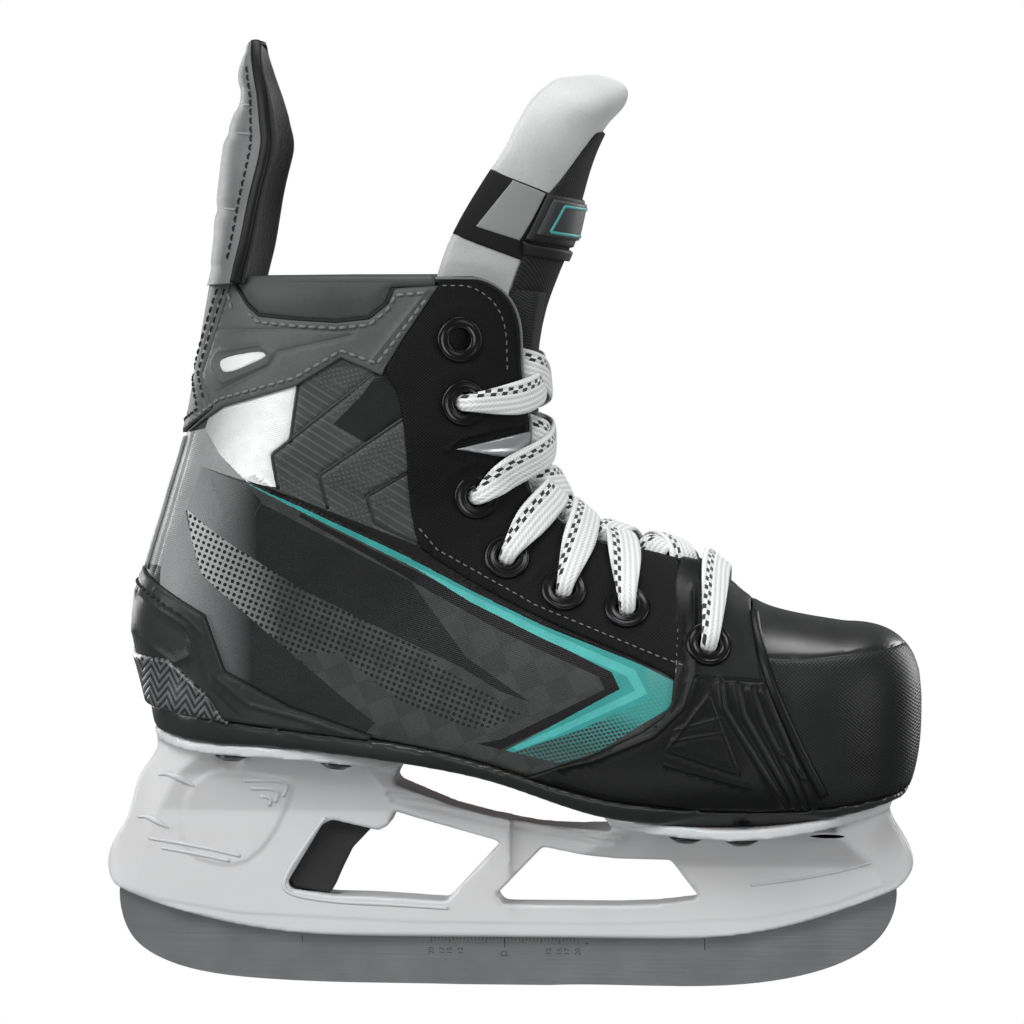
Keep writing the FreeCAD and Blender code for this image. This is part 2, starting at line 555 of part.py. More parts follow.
def make_eyelets(side):
    rings = []
    for place in EYELETS:
        barrel = eyelet_cylinder(place, side, EYELET_BARREL, FOAM_FACE - 0.6, 0.2)
        flange_ring = eyelet_cylinder(place, side, EYELET_FLANGE, 0, EYELET_FLANGE_HEIGHT)
        bore = eyelet_cylinder(place, side, EYELET_BORE, FOAM_FACE - 2, 3)
        rings.append(barrel.fuse(flange_ring).cut(bore).removeSplitter())
    return Part.makeCompound(rings)


def layer(outer, inner):
    return form_solid(outer).cut(form_solid(inner))


def bent_ring(section, depth, half_thickness, share):
    """A closed ring bent round the shin: depth is from the section's outer face to the ring's middle."""
    (face_x, face_z), (edge_x, edge_z), half_width = section
    run = V(edge_x - face_x, 0, edge_z - face_z)
    inward = V(run).normalize()
    points = []
    for i in range(RING_POINTS):
        angle = 2 * math.pi * (i + 0.5) / RING_POINTS
        across = math.sin(angle) * share
        wrap = math.asin(across * math.sin(WRAP_ANGLE))
        back = (1 - math.cos(wrap)) / (1 - math.cos(WRAP_ANGLE))
        swell = math.copysign(abs(math.cos(angle)) ** 0.4, math.cos(angle))
        points.append(V(face_x, half_width * across, face_z) + run * back
                      + inward * (depth - half_thickness * swell))
    return points


def bent_pad(sections, start, thickness, share=1.0):
    half = thickness / 2
    return skin([bent_ring(section, start + half, half, share) for section in sections])


# ---------------------------------------------------------------- lace
def station_of(x, z):
    if z > PIVOT_Z:
        return 90 + z - PIVOT_Z
    if x > PIVOT_X:
        return PIVOT_X - x
    return math.degrees(math.atan2(PIVOT_X - x, PIVOT_Z - z))


def instep_point(station, across, height):
    """A point at a height above the form's instep, at a distance across from the middle."""
    instep, sole, widest, width = section_sizes(station, height)
    power = keyed(INSTEP_POWER, station)
    drop = (1 - min(1.0, abs(across) / width) ** power) ** (1 / power)
    radius = widest - (widest - instep) * drop
    tilt = math.radians(min(max(station, 0), 90))
    return V(PIVOT_X + max(0.0, -station) - radius * math.sin(tilt), keyed(MIDLINE, station) + across,
             PIVOT_Z + max(0.0, station - 90) - radius * math.cos(tilt))


def dip_in_channel(station, side, gap):
    """Two points that take the lace down between the tongue's crown and an eyestay."""
    return [instep_point(station, side * (gap - 5.2), LACE_BESIDE_CROWN),
            instep_point(station, side * (gap - 1.6), LACE_UNDER)]


def lace_half(side, over):
    """Route of one half of the lace, from the bar at the toe to its hidden end."""
    last = len(EYELETS) - 1
    stations = [station_of(x, z) for x, z in EYELETS]
    route = [instep_point(stations[last], 0, LACE_OVER_EDGE)]
    point, normal = eyelet_frame(EYELETS[last], side)
    route += [point + normal * LACE_STAND_OFF, point + normal * LACE_UNDER]
    for index in range(last - 1, 0, -1):
        here, there = stations[index + 1], stations[index]
        gap = keyed(THROAT, (here + there) / 2)
        if index == last - 1:
            route += dip_in_channel(here + (there - here) * 0.2, side, gap)[::-1]
        else:
            route.append(instep_point(here + (there - here) * 0.25, side * (gap + 1), LACE_OVER_EDGE))
        route.append(instep_point((here + there) / 2, 0, over))
        side = -side
        route += dip_in_channel(here + (there - here) * 0.8, side, gap)
        point, normal = eyelet_frame(EYELETS[index], side)
        route += [point + normal * LACE_UNDER, point + normal * LACE_STAND_OFF]
    end = stations[1]
    gap = keyed(THROAT, end + 6)
    route.append(instep_point(end + 2, side * (gap + 1), LACE_OVER_EDGE))
    route.append(instep_point(end + 7, 0, over))
    route += dip_in_channel(end + 11, -side, gap)
    return route + [instep_point(end + 12, -side * (gap + 3.2), LACE_UNDER)]


def cord(points, radius):
    """A tube of straight runs joined by tangent arcs."""
    edges = []
    start = points[0]
    for a, b, c in zip(points, points[1:], points[2:]):
        back, ahead = (a - b), (c - b)
        reach = 0.45 * min(back.Length, ahead.Length)
        first = b + V(back).normalize() * reach
        last = b + V(ahead).normalize() * reach
        half_turn = (math.pi - back.getAngle(ahead)) / 2
        arc_radius = reach / math.tan(half_turn)
        if arc_radius < 1.3 * radius:
            print("tight bend", round(arc_radius, 2), b)
        centre = b + (V(back).normalize() + V(ahead).normalize()).normalize() * math.hypot(reach, arc_radius)
        middle = centre + (b - centre).normalize() * arc_radius
        edges.append(Part.LineSegment(start, first).toShape())
        edges.append(Part.Arc(first, middle, last).toShape())
        start = last
    edges.append(Part.LineSegment(start, points[-1]).toShape())
    path = Part.Wire(edges)
    circle = Part.Wire([Part.Circle(points[0], points[1] - points[0], radius).toShape()])
    tube = path.makePipeShell([circle], True, True)
    by_volume = tube.Volume / (math.pi * radius**2)
    print(f"lace length {path.Length:.0f} mm, volume over section {by_volume:.0f} mm")
    return tube


def make_lace():
    one = lace_half(LATERAL, LACE_OVER_TONGUE[0])
    other = lace_half(MEDIAL, LACE_OVER_TONGUE[1])
    aglets = []
    for half in (one, other):
        end = half[-1]
        along_wall = side_point(end.x - AGLET_LENGTH, end.z, math.copysign(1, end.y), LACE_UNDER - 0.7) - end
        aglets.append(Part.makeCylinder(AGLET_RADIUS, AGLET_LENGTH, end, along_wall))
    return cord(one[::-1] + other[1:], LACE_RADIUS), Part.makeCompound(aglets)


# ---------------------------------------------------------------- the skate
def main():
    rivets = rivet_places()
    shanks = [rivet_part(x, y, RIVET_SHANK, 0, 30) for x, y in rivets]
    write("runner", make_runner())
    holder = make_holder()
    write("holder", holder)
    write("trigger", make_trigger().cut(holder))
    write("trigger_pin", trigger_axle(PIN_RADIUS, -PIN_HALF_LENGTH, PIN_HALF_LENGTH))
    write("trigger_spring", make_trigger_spring())
    rear, front = len(REAR_RIVETS) * 2, len(FRONT_RIVETS) * 2
    rivet_solids = [make_rivet(x, y) for x, y in rivets]
    washers = [make_washer(x, y) for x, y in rivets]
    write("rear_rivets", Part.makeCompound(rivet_solids[:rear]))
    write("front_rivets", Part.makeCompound(rivet_solids[rear:rear + front]))
    write("rivet_washers", Part.makeCompound(washers))
    lace, aglets = make_lace()
    aglets = aglets.cut(lace)
    write("lace", lace)
    write("lace_aglets", aglets)
    rivet_room = [rivet_part(x, y, WASHER_RADIUS, rivet_grip(x), rivet_grip(x) + WASHER_HEIGHT + 0.8)
                  for x, y in rivets] + rivet_solids

    board_top = raised(SOLE_TOP, BOARD_THICKNESS)
    footbed_top = raised(board_top, FOOTBED_THICKNESS)
    write("outsole", form_solid(SURFACE).common(band(SOLE_BOTTOM, SOLE_TOP)).cut(shanks))
    write("insole_board", form_solid(FOAM_FACE).common(band(SOLE_TOP, board_top)).cut(shanks))
    write("footbed", form_solid(CAVITY_FACE).common(band(board_top, footbed_top)).cut(rivet_room))

    above_sole = band(SOLE_TOP, [(SOLE_TOP[0][0], COLLAR_HEIGHT), (SOLE_TOP[-1][0], COLLAR_HEIGHT)])
    above_board = band(board_top, [(SOLE_TOP[0][0], COLLAR_HEIGHT), (SOLE_TOP[-1][0], COLLAR_HEIGHT)])
    opening = throat(0, THROAT_DEPTH)
    holes = [eyelet_cylinder(place, side, EYELET_BARREL, -12, 4) for place in EYELETS
             for side in (LATERAL, MEDIAL)]
    tongue_face = bent_pad(TONGUE_SECTIONS, 0, TONGUE_FACE, TONGUE_FACE_SHARE)
    tongue_felt = bent_pad(TONGUE_SECTIONS, TONGUE_FACE, TONGUE_FELT).cut(tongue_face)
    quarter = layer(QUARTER_FACE, FOAM_FACE).common(above_sole).cut([opening] + holes)
    quarter = quarter.cut([lace] + rivet_room)
    foam = layer(FOAM_FACE, LINING_FACE).common(above_board).cut([opening] + holes + rivet_room)
    foam = foam.cut([lace] + aglets.Solids)
    lining = layer(LINING_FACE, CAVITY_FACE).common(above_board).cut([opening] + holes + rivet_room)
    lining = lining.cut([lace, tongue_felt])
    facing_area = prism(FACING)
    facing = quarter.common(facing_area)
    quarter = quarter.cut(facing_area)
    write("lining", lining)
    overlay = layer(SURFACE, QUARTER_FACE).common(above_sole).cut(opening)

    toe = prism(TOE_EDGE + [(130, 40), (130, 110)])
    write("toe_cap", overlay.common(toe))
    wrap_area = prism(WRAP_REAR + [(100, 40), (100, 118)]).cut(toe)
    eyestay_area = prism([(-17.6, 195), COLLAR_LOWER[0], COLLAR_LOWER[1]] + EYESTAY_LOWER
                         + [(60, 84.5), (60, 195)]).cut([toe, wrap_area])
    strap_area = prism(GUARD_STRAP)
    collar_area = prism(COLLAR_LOWER + [(-112, 150), (-112, 195), (-17.6, 195)])
    collar_area = collar_area.cut([eyestay_area, strap_area])
    heel_area = prism(HEEL_OVERLAY_TOP + [(-112, 60)])
    write("guard_strap", overlay.common(strap_area))
    write("back_strip", overlay.common(prism(BACK_STRIP)).cut([strap_area, heel_area]))
    heel = overlay.common(heel_area)
    support = layer(SURFACE + 0.9, SURFACE - 0.1).common(prism(HEEL_SUPPORT_TOP + [(-112, 70)]))
    support = support.common(above_sole)
    write("heel_support", support)
    write("heel_overlay", heel.cut(support))

    insert_layer = layer(SURFACE + INSERT_PROUD, SURFACE - INSERT_SUNK)
    eyestay_insert = insert_layer.common(prism(EYESTAY_INSERT)).cut([opening, lace])
    collar_insert = insert_layer.common(prism(COLLAR_INSERT))
    for side, name in ((LATERAL, "lateral"), (MEDIAL, "medial")):
        write("quarter_" + name, one_side(quarter, side))
        write("facing_" + name, one_side(facing, side))
        write("foam_" + name, one_side(foam, side))
        eyelets = make_eyelets(side)
        wrap = one_side(overlay.common(wrap_area).cut(holes), side)
        eyestay = one_side(overlay.common(eyestay_area).cut([eyestay_insert] + holes), side)
        write("forefoot_wrap_" + name, wrap.cut([lace] + eyelets.Solids))
        write("eyestay_" + name, eyestay.cut([lace] + eyelets.Solids))
        write("eyestay_insert_" + name, one_side(eyestay_insert, side))
        write("collar_overlay_" + name, one_side(overlay.common(collar_area).cut(collar_insert), side))
        write("collar_insert_" + name, one_side(collar_insert, side))
        write("eyelets_" + name, eyelets.cut(lace))

    below_hinge = prism([(-40, 100), (-40, 191.9), (TONGUE_HINGE[0] - 1, TONGUE_HINGE[1] - 0.1), (20, 183.6),
                         (TONGUE_TOE_X, 150), (TONGUE_TOE_X, 60), (0, 60)])
    crown = layer(TONGUE_CROWN, TONGUE_BACK).common(throat(-TONGUE_CROWN_INSET, THROAT_DEPTH + 4))
    wings = layer(TONGUE_WING, TONGUE_BACK).common(throat(TONGUE_WING_REACH, THROAT_DEPTH + 16))
    write("tongue_lower", crown.fuse(wings).common(below_hinge).cut(lace))
    write("tongue_felt", tongue_felt)
    write("tongue_face", tongue_face)
    standing = prism(GUARD_FOOT)
    write("guard_shell", bent_pad(GUARD_SECTIONS, 0, GUARD_SHELL).common(standing))
    write("guard_lining", bent_pad(GUARD_SECTIONS, GUARD_SHELL, GUARD_LINING).common(standing))


main()
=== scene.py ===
import bmesh
import bpy
import math
import numpy as np
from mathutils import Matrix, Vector
from mathutils.bvhtree import BVHTree
from mathutils.geometry import delaunay_2d_cdt


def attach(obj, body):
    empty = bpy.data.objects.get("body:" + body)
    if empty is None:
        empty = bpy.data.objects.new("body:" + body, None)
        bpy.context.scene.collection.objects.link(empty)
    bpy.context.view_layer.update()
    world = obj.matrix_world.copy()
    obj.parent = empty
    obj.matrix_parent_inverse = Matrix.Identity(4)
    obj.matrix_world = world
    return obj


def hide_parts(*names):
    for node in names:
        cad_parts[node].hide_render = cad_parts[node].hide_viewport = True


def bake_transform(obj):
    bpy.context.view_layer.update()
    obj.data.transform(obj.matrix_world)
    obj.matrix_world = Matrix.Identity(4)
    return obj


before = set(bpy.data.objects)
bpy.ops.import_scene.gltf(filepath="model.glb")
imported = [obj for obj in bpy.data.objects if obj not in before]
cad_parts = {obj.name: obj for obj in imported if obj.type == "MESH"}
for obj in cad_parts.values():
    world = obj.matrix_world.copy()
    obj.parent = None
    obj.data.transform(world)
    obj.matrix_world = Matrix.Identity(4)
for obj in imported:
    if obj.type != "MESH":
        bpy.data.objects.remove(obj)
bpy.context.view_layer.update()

MM = 0.001
LATERAL, MEDIAL = -1, 1
BOTH = (LATERAL, MEDIAL)
SIDE_WORDS = ((LATERAL, "lateral"), (MEDIAL, "medial"))

# ================================================================ the form of the boot, in mm
PIVOT_X, PIVOT_Z = 36.6, 150.9
NOSE_X, NOSE_Z = 112.7, 78.0
CLOSE_FROM_X, NARROW_FROM_X = 92.0, 78.0
CLOSE_POWER, NARROW_POWER = 2.6, 2.3
TOE_OFFSET_FROM_X = 66.0
INSTEP_RADIUS = [(-55.4, 51.9), (-44.4, 50.1), (-35.4, 47.9), (-29.4, 44.9), (-23.4, 39.9),
                 (-16.4, 34.9), (-8.4, 31.9), (0, 29.5), (24, 28.4), (50, 27.6), (78, 26.4),
                 (90, 26.0), (106, 27.6), (123, 25.4), (140, 21.0)]
SOLE_RADIUS = [(-55.4, 106.9), (-27.4, 107.5), (0, 109.9), (20, 107.4), (34, 116.9),
               (44, 130.6), (51, 145), (55, 154), (58.7, 154.2), (62, 151.2), (68.7, 147.5),
               (74.9, 139.4), (81.7, 130.7), (90, 124), (106, 120.6), (123, 117.6), (140, 114.6)]
WIDEST_RADIUS = [(-55.4, 79), (0, 78), (20, 80), (34, 86), (44, 94), (51, 103), (58.7, 112),
                 (68.7, 112), (74.9, 106), (81.7, 97), (90, 88), (106, 84), (140, 78)]
HALF_WIDTH = [(-41.4, 35.8), (-27.4, 37.4), (-13.4, 37.6), (0, 36.4), (20, 34), (34, 31.6),
              (44, 30), (51, 29), (58.7, 28.6), (68.7, 29), (74.9, 30), (81.7, 31.4), (90, 32.4),
              (106, 32.8), (123, 31.8), (140, 30.5)]
INSTEP_POWER = [(-55.4, 2.7), (-27.4, 2.3), (0, 2.1), (34, 2.4), (58.7, 2.8), (90, 3.0), (140, 2.8)]
SOLE_POWER = [(-55.4, 3.4), (0, 3.2), (34, 3.2), (51, 3.0), (58.7, 2.6), (68.7, 2.2), (90, 2.0),
              (140, 2.0)]
MIDLINE = [(-76, 3.5), (-40, 3.5), (-13, 2.2), (20, 0.4), (50, 0), (140, 0)]
THROAT = [(-26, 7), (-14, 10.5), (12, 12.5), (40, 14.5), (65, 16), (90, 17), (115, 19.5), (145, 23)]
EYELETS = [(-10.0, 175.9), (-8.9, 159.1), (-6.0, 134.1), (2.2, 117.9), (17.6, 109.5), (34.4, 104.9),
           (56.1, 95.4)]
SURFACE, QUARTER_FACE, FOAM_FACE, LINING_FACE, CAVITY_FACE = 0.0, -1.0, -3.0, -6.0, -7.2


def keyed(keys, at):
    """Values at stations, by a monotone cubic through (station, value) keys."""
    xs, ys = np.array(keys, float).T
    slope = np.diff(ys) / np.diff(xs)
    before, after = slope[:-1], slope[1:]
    total = np.where(before * after > 0, before + after, 1)
    inner = np.where(before * after > 0, 2 * before * after / total, 0)
    tangent = np.concatenate([slope[:1], inner, slope[-1:]])
    at = np.clip(np.asarray(at, float), xs[0], xs[-1])
    i = np.clip(np.searchsorted(xs, at, side="right") - 1, 0, len(xs) - 2)
    span = xs[i + 1] - xs[i]
    t = (at - xs[i]) / span
    return ((2 * t**3 - 3 * t**2 + 1) * ys[i] + (t**3 - 2 * t**2 + t) * span * tangent[i]
            + (3 * t**2 - 2 * t**3) * ys[i + 1] + (t**3 - t**2) * span * tangent[i + 1])


def closing(x, start, power):
    t = np.clip((x - start) / (NOSE_X - start), 0, 1)
    return (1 - t**power) ** (1 / power)


def section_sizes(q, offset):
    """Instep, sole and widest radii and the half width at stations."""
    instep = keyed(INSTEP_RADIUS, q) - offset
    sole = keyed(SOLE_RADIUS, q) + offset
    widest = keyed(WIDEST_RADIUS, q)
    width = keyed(HALF_WIDTH, q) + offset
    x = PIVOT_X - np.minimum(q, 0)
    left = closing(x, CLOSE_FROM_X, CLOSE_POWER)
    nose = PIVOT_Z - NOSE_Z
    instep, sole, widest = (nose + (r - nose) * left for r in (instep, sole, widest))
    return instep, sole, widest, width * closing(x, NARROW_FROM_X, NARROW_POWER)


def place_on_section(q, radius, y, offset):
    tilt = np.radians(np.clip(q, 0, 90))
    toe = np.clip((PIVOT_X - q - TOE_OFFSET_FROM_X) / (NOSE_X - TOE_OFFSET_FROM_X), 0, None)
    x = np.where(q < 0, PIVOT_X - q + offset * toe**2, PIVOT_X - radius * np.sin(tilt))
    z = PIVOT_Z + np.clip(q - 90, 0, None) - radius * np.cos(tilt)
    return np.stack(np.broadcast_arrays(x, y, z), -1)


def form(q, angle, side, offset):
    """Points of the form at angles round their sections: 0 at the sole, pi at the instep."""
    instep, sole, widest, width = section_sizes(q, offset)
    across, along = np.sin(angle), np.cos(angle)
    low, high = keyed(SOLE_POWER, q), keyed(INSTEP_POWER, q)
    power = np.where(along > 0, low, high)
    reach = np.abs(along) ** (2 / power)
    radius = np.where(along > 0, widest + (sole - widest) * reach, widest - (widest - instep) * reach)
    y = keyed(MIDLINE, q) + side * width * np.abs(across) ** (2 / power)
    return place_on_section(q, radius, y, offset)


# Dense tables that lay the form out flat: u runs from the nose to the collar, w round half of the girth.
nose_steps = NOSE_X - np.array([0, 0.001, 0.01, 0.05, 0.15, 0.4, 0.8, 1.4, 2.2, 3.2, 4.5, 6, 8, 10.5])
Q_ROWS = np.concatenate([PIVOT_X - nose_steps, np.linspace(PIVOT_X - 100, 140, 260)])
V_COLUMNS = np.linspace(0, 1, 161)
fine = np.linspace(0, math.pi, 900)
rings = form(Q_ROWS[:, None], fine[None, :], LATERAL, SURFACE)
girth = np.concatenate([np.zeros((len(Q_ROWS), 1)),
                        np.cumsum(np.linalg.norm(np.diff(rings, axis=1), axis=2), axis=1)], axis=1)
HALF_GIRTH = np.maximum(girth[:, -1], 1e-3)
share = girth / HALF_GIRTH[:, None]
share[0] = share[1]
ANGLES = np.array([np.interp(V_COLUMNS, row, fine) for row in share])
grid = np.array([form(q, row, LATERAL, SURFACE) for q, row in zip(Q_ROWS, ANGLES)])
U_ROWS = np.concatenate([[0], np.cumsum(np.linalg.norm(np.diff(grid, axis=0), axis=2).mean(axis=1))])


def surface(u, w, side, offset):
    """Points of the form from flat places."""
    q = np.interp(u, U_ROWS, Q_ROWS)
    v = np.clip(w / np.interp(u, U_ROWS, HALF_GIRTH), 0, 1)
    row = np.clip(np.interp(u, U_ROWS, np.arange(len(U_ROWS))), 0, len(U_ROWS) - 1.001)
    column = np.clip(v * (len(V_COLUMNS) - 1), 0, len(V_COLUMNS) - 1.001)
    i, j = row.astype(int), column.astype(int)
    a, b = row - i, column - j
    angle = ((ANGLES[i, j] * (1 - b) + ANGLES[i, j + 1] * b) * (1 - a)
             + (ANGLES[i + 1, j] * (1 - b) + ANGLES[i + 1, j + 1] * b) * a)
    return form(q, angle, side, offset)


def station_of(x, z):
    x, z = np.asarray(x, float), np.asarray(z, float)
    fan = np.degrees(np.arctan2(PIVOT_X - x, PIVOT_Z - z))
    return np.where(z > PIVOT_Z, 90 + z - PIVOT_Z, np.where(x > PIVOT_X, PIVOT_X - x, fan))


def to_flat(points):
    """Flat places of side-view points, held to the form's outline."""
    x, z = np.asarray(points, float).T
    q = np.clip(station_of(x, z), Q_ROWS[0], Q_ROWS[-1])
    radius = np.where(z > PIVOT_Z, PIVOT_X - x, np.where(x > PIVOT_X, PIVOT_Z - z,
                                                        np.hypot(PIVOT_X - x, PIVOT_Z - z)))
    instep, sole, widest, width = section_sizes(q, SURFACE)
    low, high = keyed(SOLE_POWER, q), keyed(INSTEP_POWER, q)
    below = np.clip((radius - widest) / np.maximum(sole - widest, 1e-6), 0, 1) ** (low / 2)
    above = np.clip((widest - radius) / np.maximum(widest - instep, 1e-6), 0, 1) ** (high / 2)
    angle = np.where(radius > widest, np.arccos(below), math.pi - np.arccos(above))
    u = np.interp(q, Q_ROWS, U_ROWS)
    row = np.clip(np.interp(q, Q_ROWS, np.arange(len(Q_ROWS))).round().astype(int), 1, None)
    v = np.array([np.interp(a, ANGLES[r], V_COLUMNS) for a, r in zip(angle, row)])
    return np.stack([u, v * np.interp(u, U_ROWS, HALF_GIRTH)], -1)


def unit(rows):
    return rows / np.maximum(np.linalg.norm(rows, axis=-1, keepdims=True), 1e-9)


def normals(u, w, side):
    """Outward directions of the form at flat places."""
    step = 0.4
    top = np.interp(u, U_ROWS, HALF_GIRTH)
    along = (surface(np.minimum(u + step, U_ROWS[-1]), w, side, SURFACE)
             - surface(np.maximum(u - step, 0), w, side, SURFACE))
    over = (surface(u, np.minimum(w + step, top), side, SURFACE)
            - surface(u, np.maximum(w - step, 0), side, SURFACE))
    return unit(np.cross(along, over) * side)


def instep_point(q, across, height):
    """A point above the instep, at a distance across from the middle."""
    instep, sole, widest, width = section_sizes(q, height)
    power = keyed(INSTEP_POWER, q)
    drop = (1 - np.minimum(1, np.abs(across) / width) ** power) ** (1 / power)
    radius = widest - (widest - instep) * drop
    return place_on_section(np.asarray(q, float), radius, keyed(MIDLINE, q) + across, 0.0)


# ================================================================ paths and meshes
def run_along(points):
    """Distance along a path at each of its points."""
    return np.concatenate([[0], np.cumsum(np.linalg.norm(np.diff(points, axis=0), axis=1))])


def resample(points, spacing, closed=False):
    """Points at even distances along straight runs, with the corners kept."""
    points = np.asarray(points, float)
    if closed:
        points = np.vstack([points, points[:1]])
    out = []
    for a, b in zip(points, points[1:]):
        count = max(1, int(round(np.linalg.norm(b - a) / spacing)))
        out += [a + (b - a) * i / count for i in range(count)]
    if not closed:
        out.append(points[-1])
    return np.array(out)


def even(points, spacing):
    """Points at even distances along an open path."""
    points = np.asarray(points, float)
    run = run_along(points)
    at = np.linspace(0, run[-1], max(2, int(round(run[-1] / spacing)) + 1))
    return np.stack([np.interp(at, run, column) for column in points.T], -1)


def rounded(points, rounds=2, closed=False):
    """Corners cut by Chaikin's rule."""
    points = np.asarray(points, float)
    for _ in range(rounds):
        a, b = (points, np.roll(points, -1, axis=0)) if closed else (points[:-1], points[1:])
        cut = np.stack([a * 0.75 + b * 0.25, a * 0.25 + b * 0.75], 1).reshape(-1, points.shape[1])
        points = cut if closed else np.vstack([points[:1], cut, points[-1:]])
    return points


def distance_to(path, at):
    """Distance from places to a path of straight runs."""
    best = np.full(len(at), 1e9)
    for a, b in zip(path, path[1:]):
        run = b - a
        t = np.clip(((at - a) @ run) / max(run @ run, 1e-12), 0, 1)
        best = np.minimum(best, np.linalg.norm(at - a - t[:, None] * run, axis=1))
    return best


def inside(outline, at):
    """Which places lie in a closed outline."""
    hit = np.zeros(len(at), bool)
    x, y = at.T
    for (ax, ay), (bx, by) in zip(outline, np.roll(outline, -1, axis=0)):
        crosses = (ay > y) != (by > y)
        with np.errstate(divide="ignore", invalid="ignore"):
            hit ^= crosses & (x < (bx - ax) * (y - ay) / (by - ay) + ax)
    return hit


def shifted(path, distance):
    """An open side-view path moved sideways, to its left."""
    path = np.asarray(path, float)
    run = np.gradient(path, axis=0)
    left = np.stack([-run[:, 1], run[:, 0]], -1)
    return path + unit(left) * distance


def make(name, verts, faces, materials, picks=None, uvs=None, merge=0.0, outward=False, smooth=True):
    """A mesh object from points in mm, with one (mm, mm) place per point in the map called side.

    merge is how near points are joined, and outward turns every face outward.
    """
    mesh = bpy.data.meshes.new(name)
    mesh.from_pydata((np.asarray(verts) * MM).tolist(), [], [list(map(int, f)) for f in faces])
    for material in materials:
        mesh.materials.append(material)
    if picks is not None:
        mesh.polygons.foreach_set("material_index", np.asarray(picks, np.int32))
    layer = mesh.uv_layers.new(name="side")
    if uvs is None:
        uvs = np.asarray(verts)[:, [0, 2]]
    loops = np.empty(len(mesh.loops), np.int32)
    mesh.loops.foreach_get("vertex_index", loops)
    layer.data.foreach_set("uv", np.asarray(uvs, np.float32)[loops].ravel())
    mesh.polygons.foreach_set("use_smooth", np.full(len(mesh.polygons), smooth))
    mesh.update()
    piece = bpy.data.objects.new(name, mesh)
    bpy.context.collection.objects.link(piece)
    if merge or outward:
        work = bmesh.new()
        work.from_mesh(mesh)
        if merge:
            bmesh.ops.remove_doubles(work, verts=work.verts, dist=merge * MM)
            bmesh.ops.dissolve_degenerate(work, edges=work.edges, dist=merge * MM * 0.2)
        bmesh.ops.recalc_face_normals(work, faces=work.faces)
        work.to_mesh(mesh)
        work.free()
    return piece


def settle(piece, body="boot", stands_for=()):
    """Puts a piece on its body, in the place of CAD nodes."""
    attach(piece, body)
    if stands_for:
        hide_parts(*stands_for)
    return piece


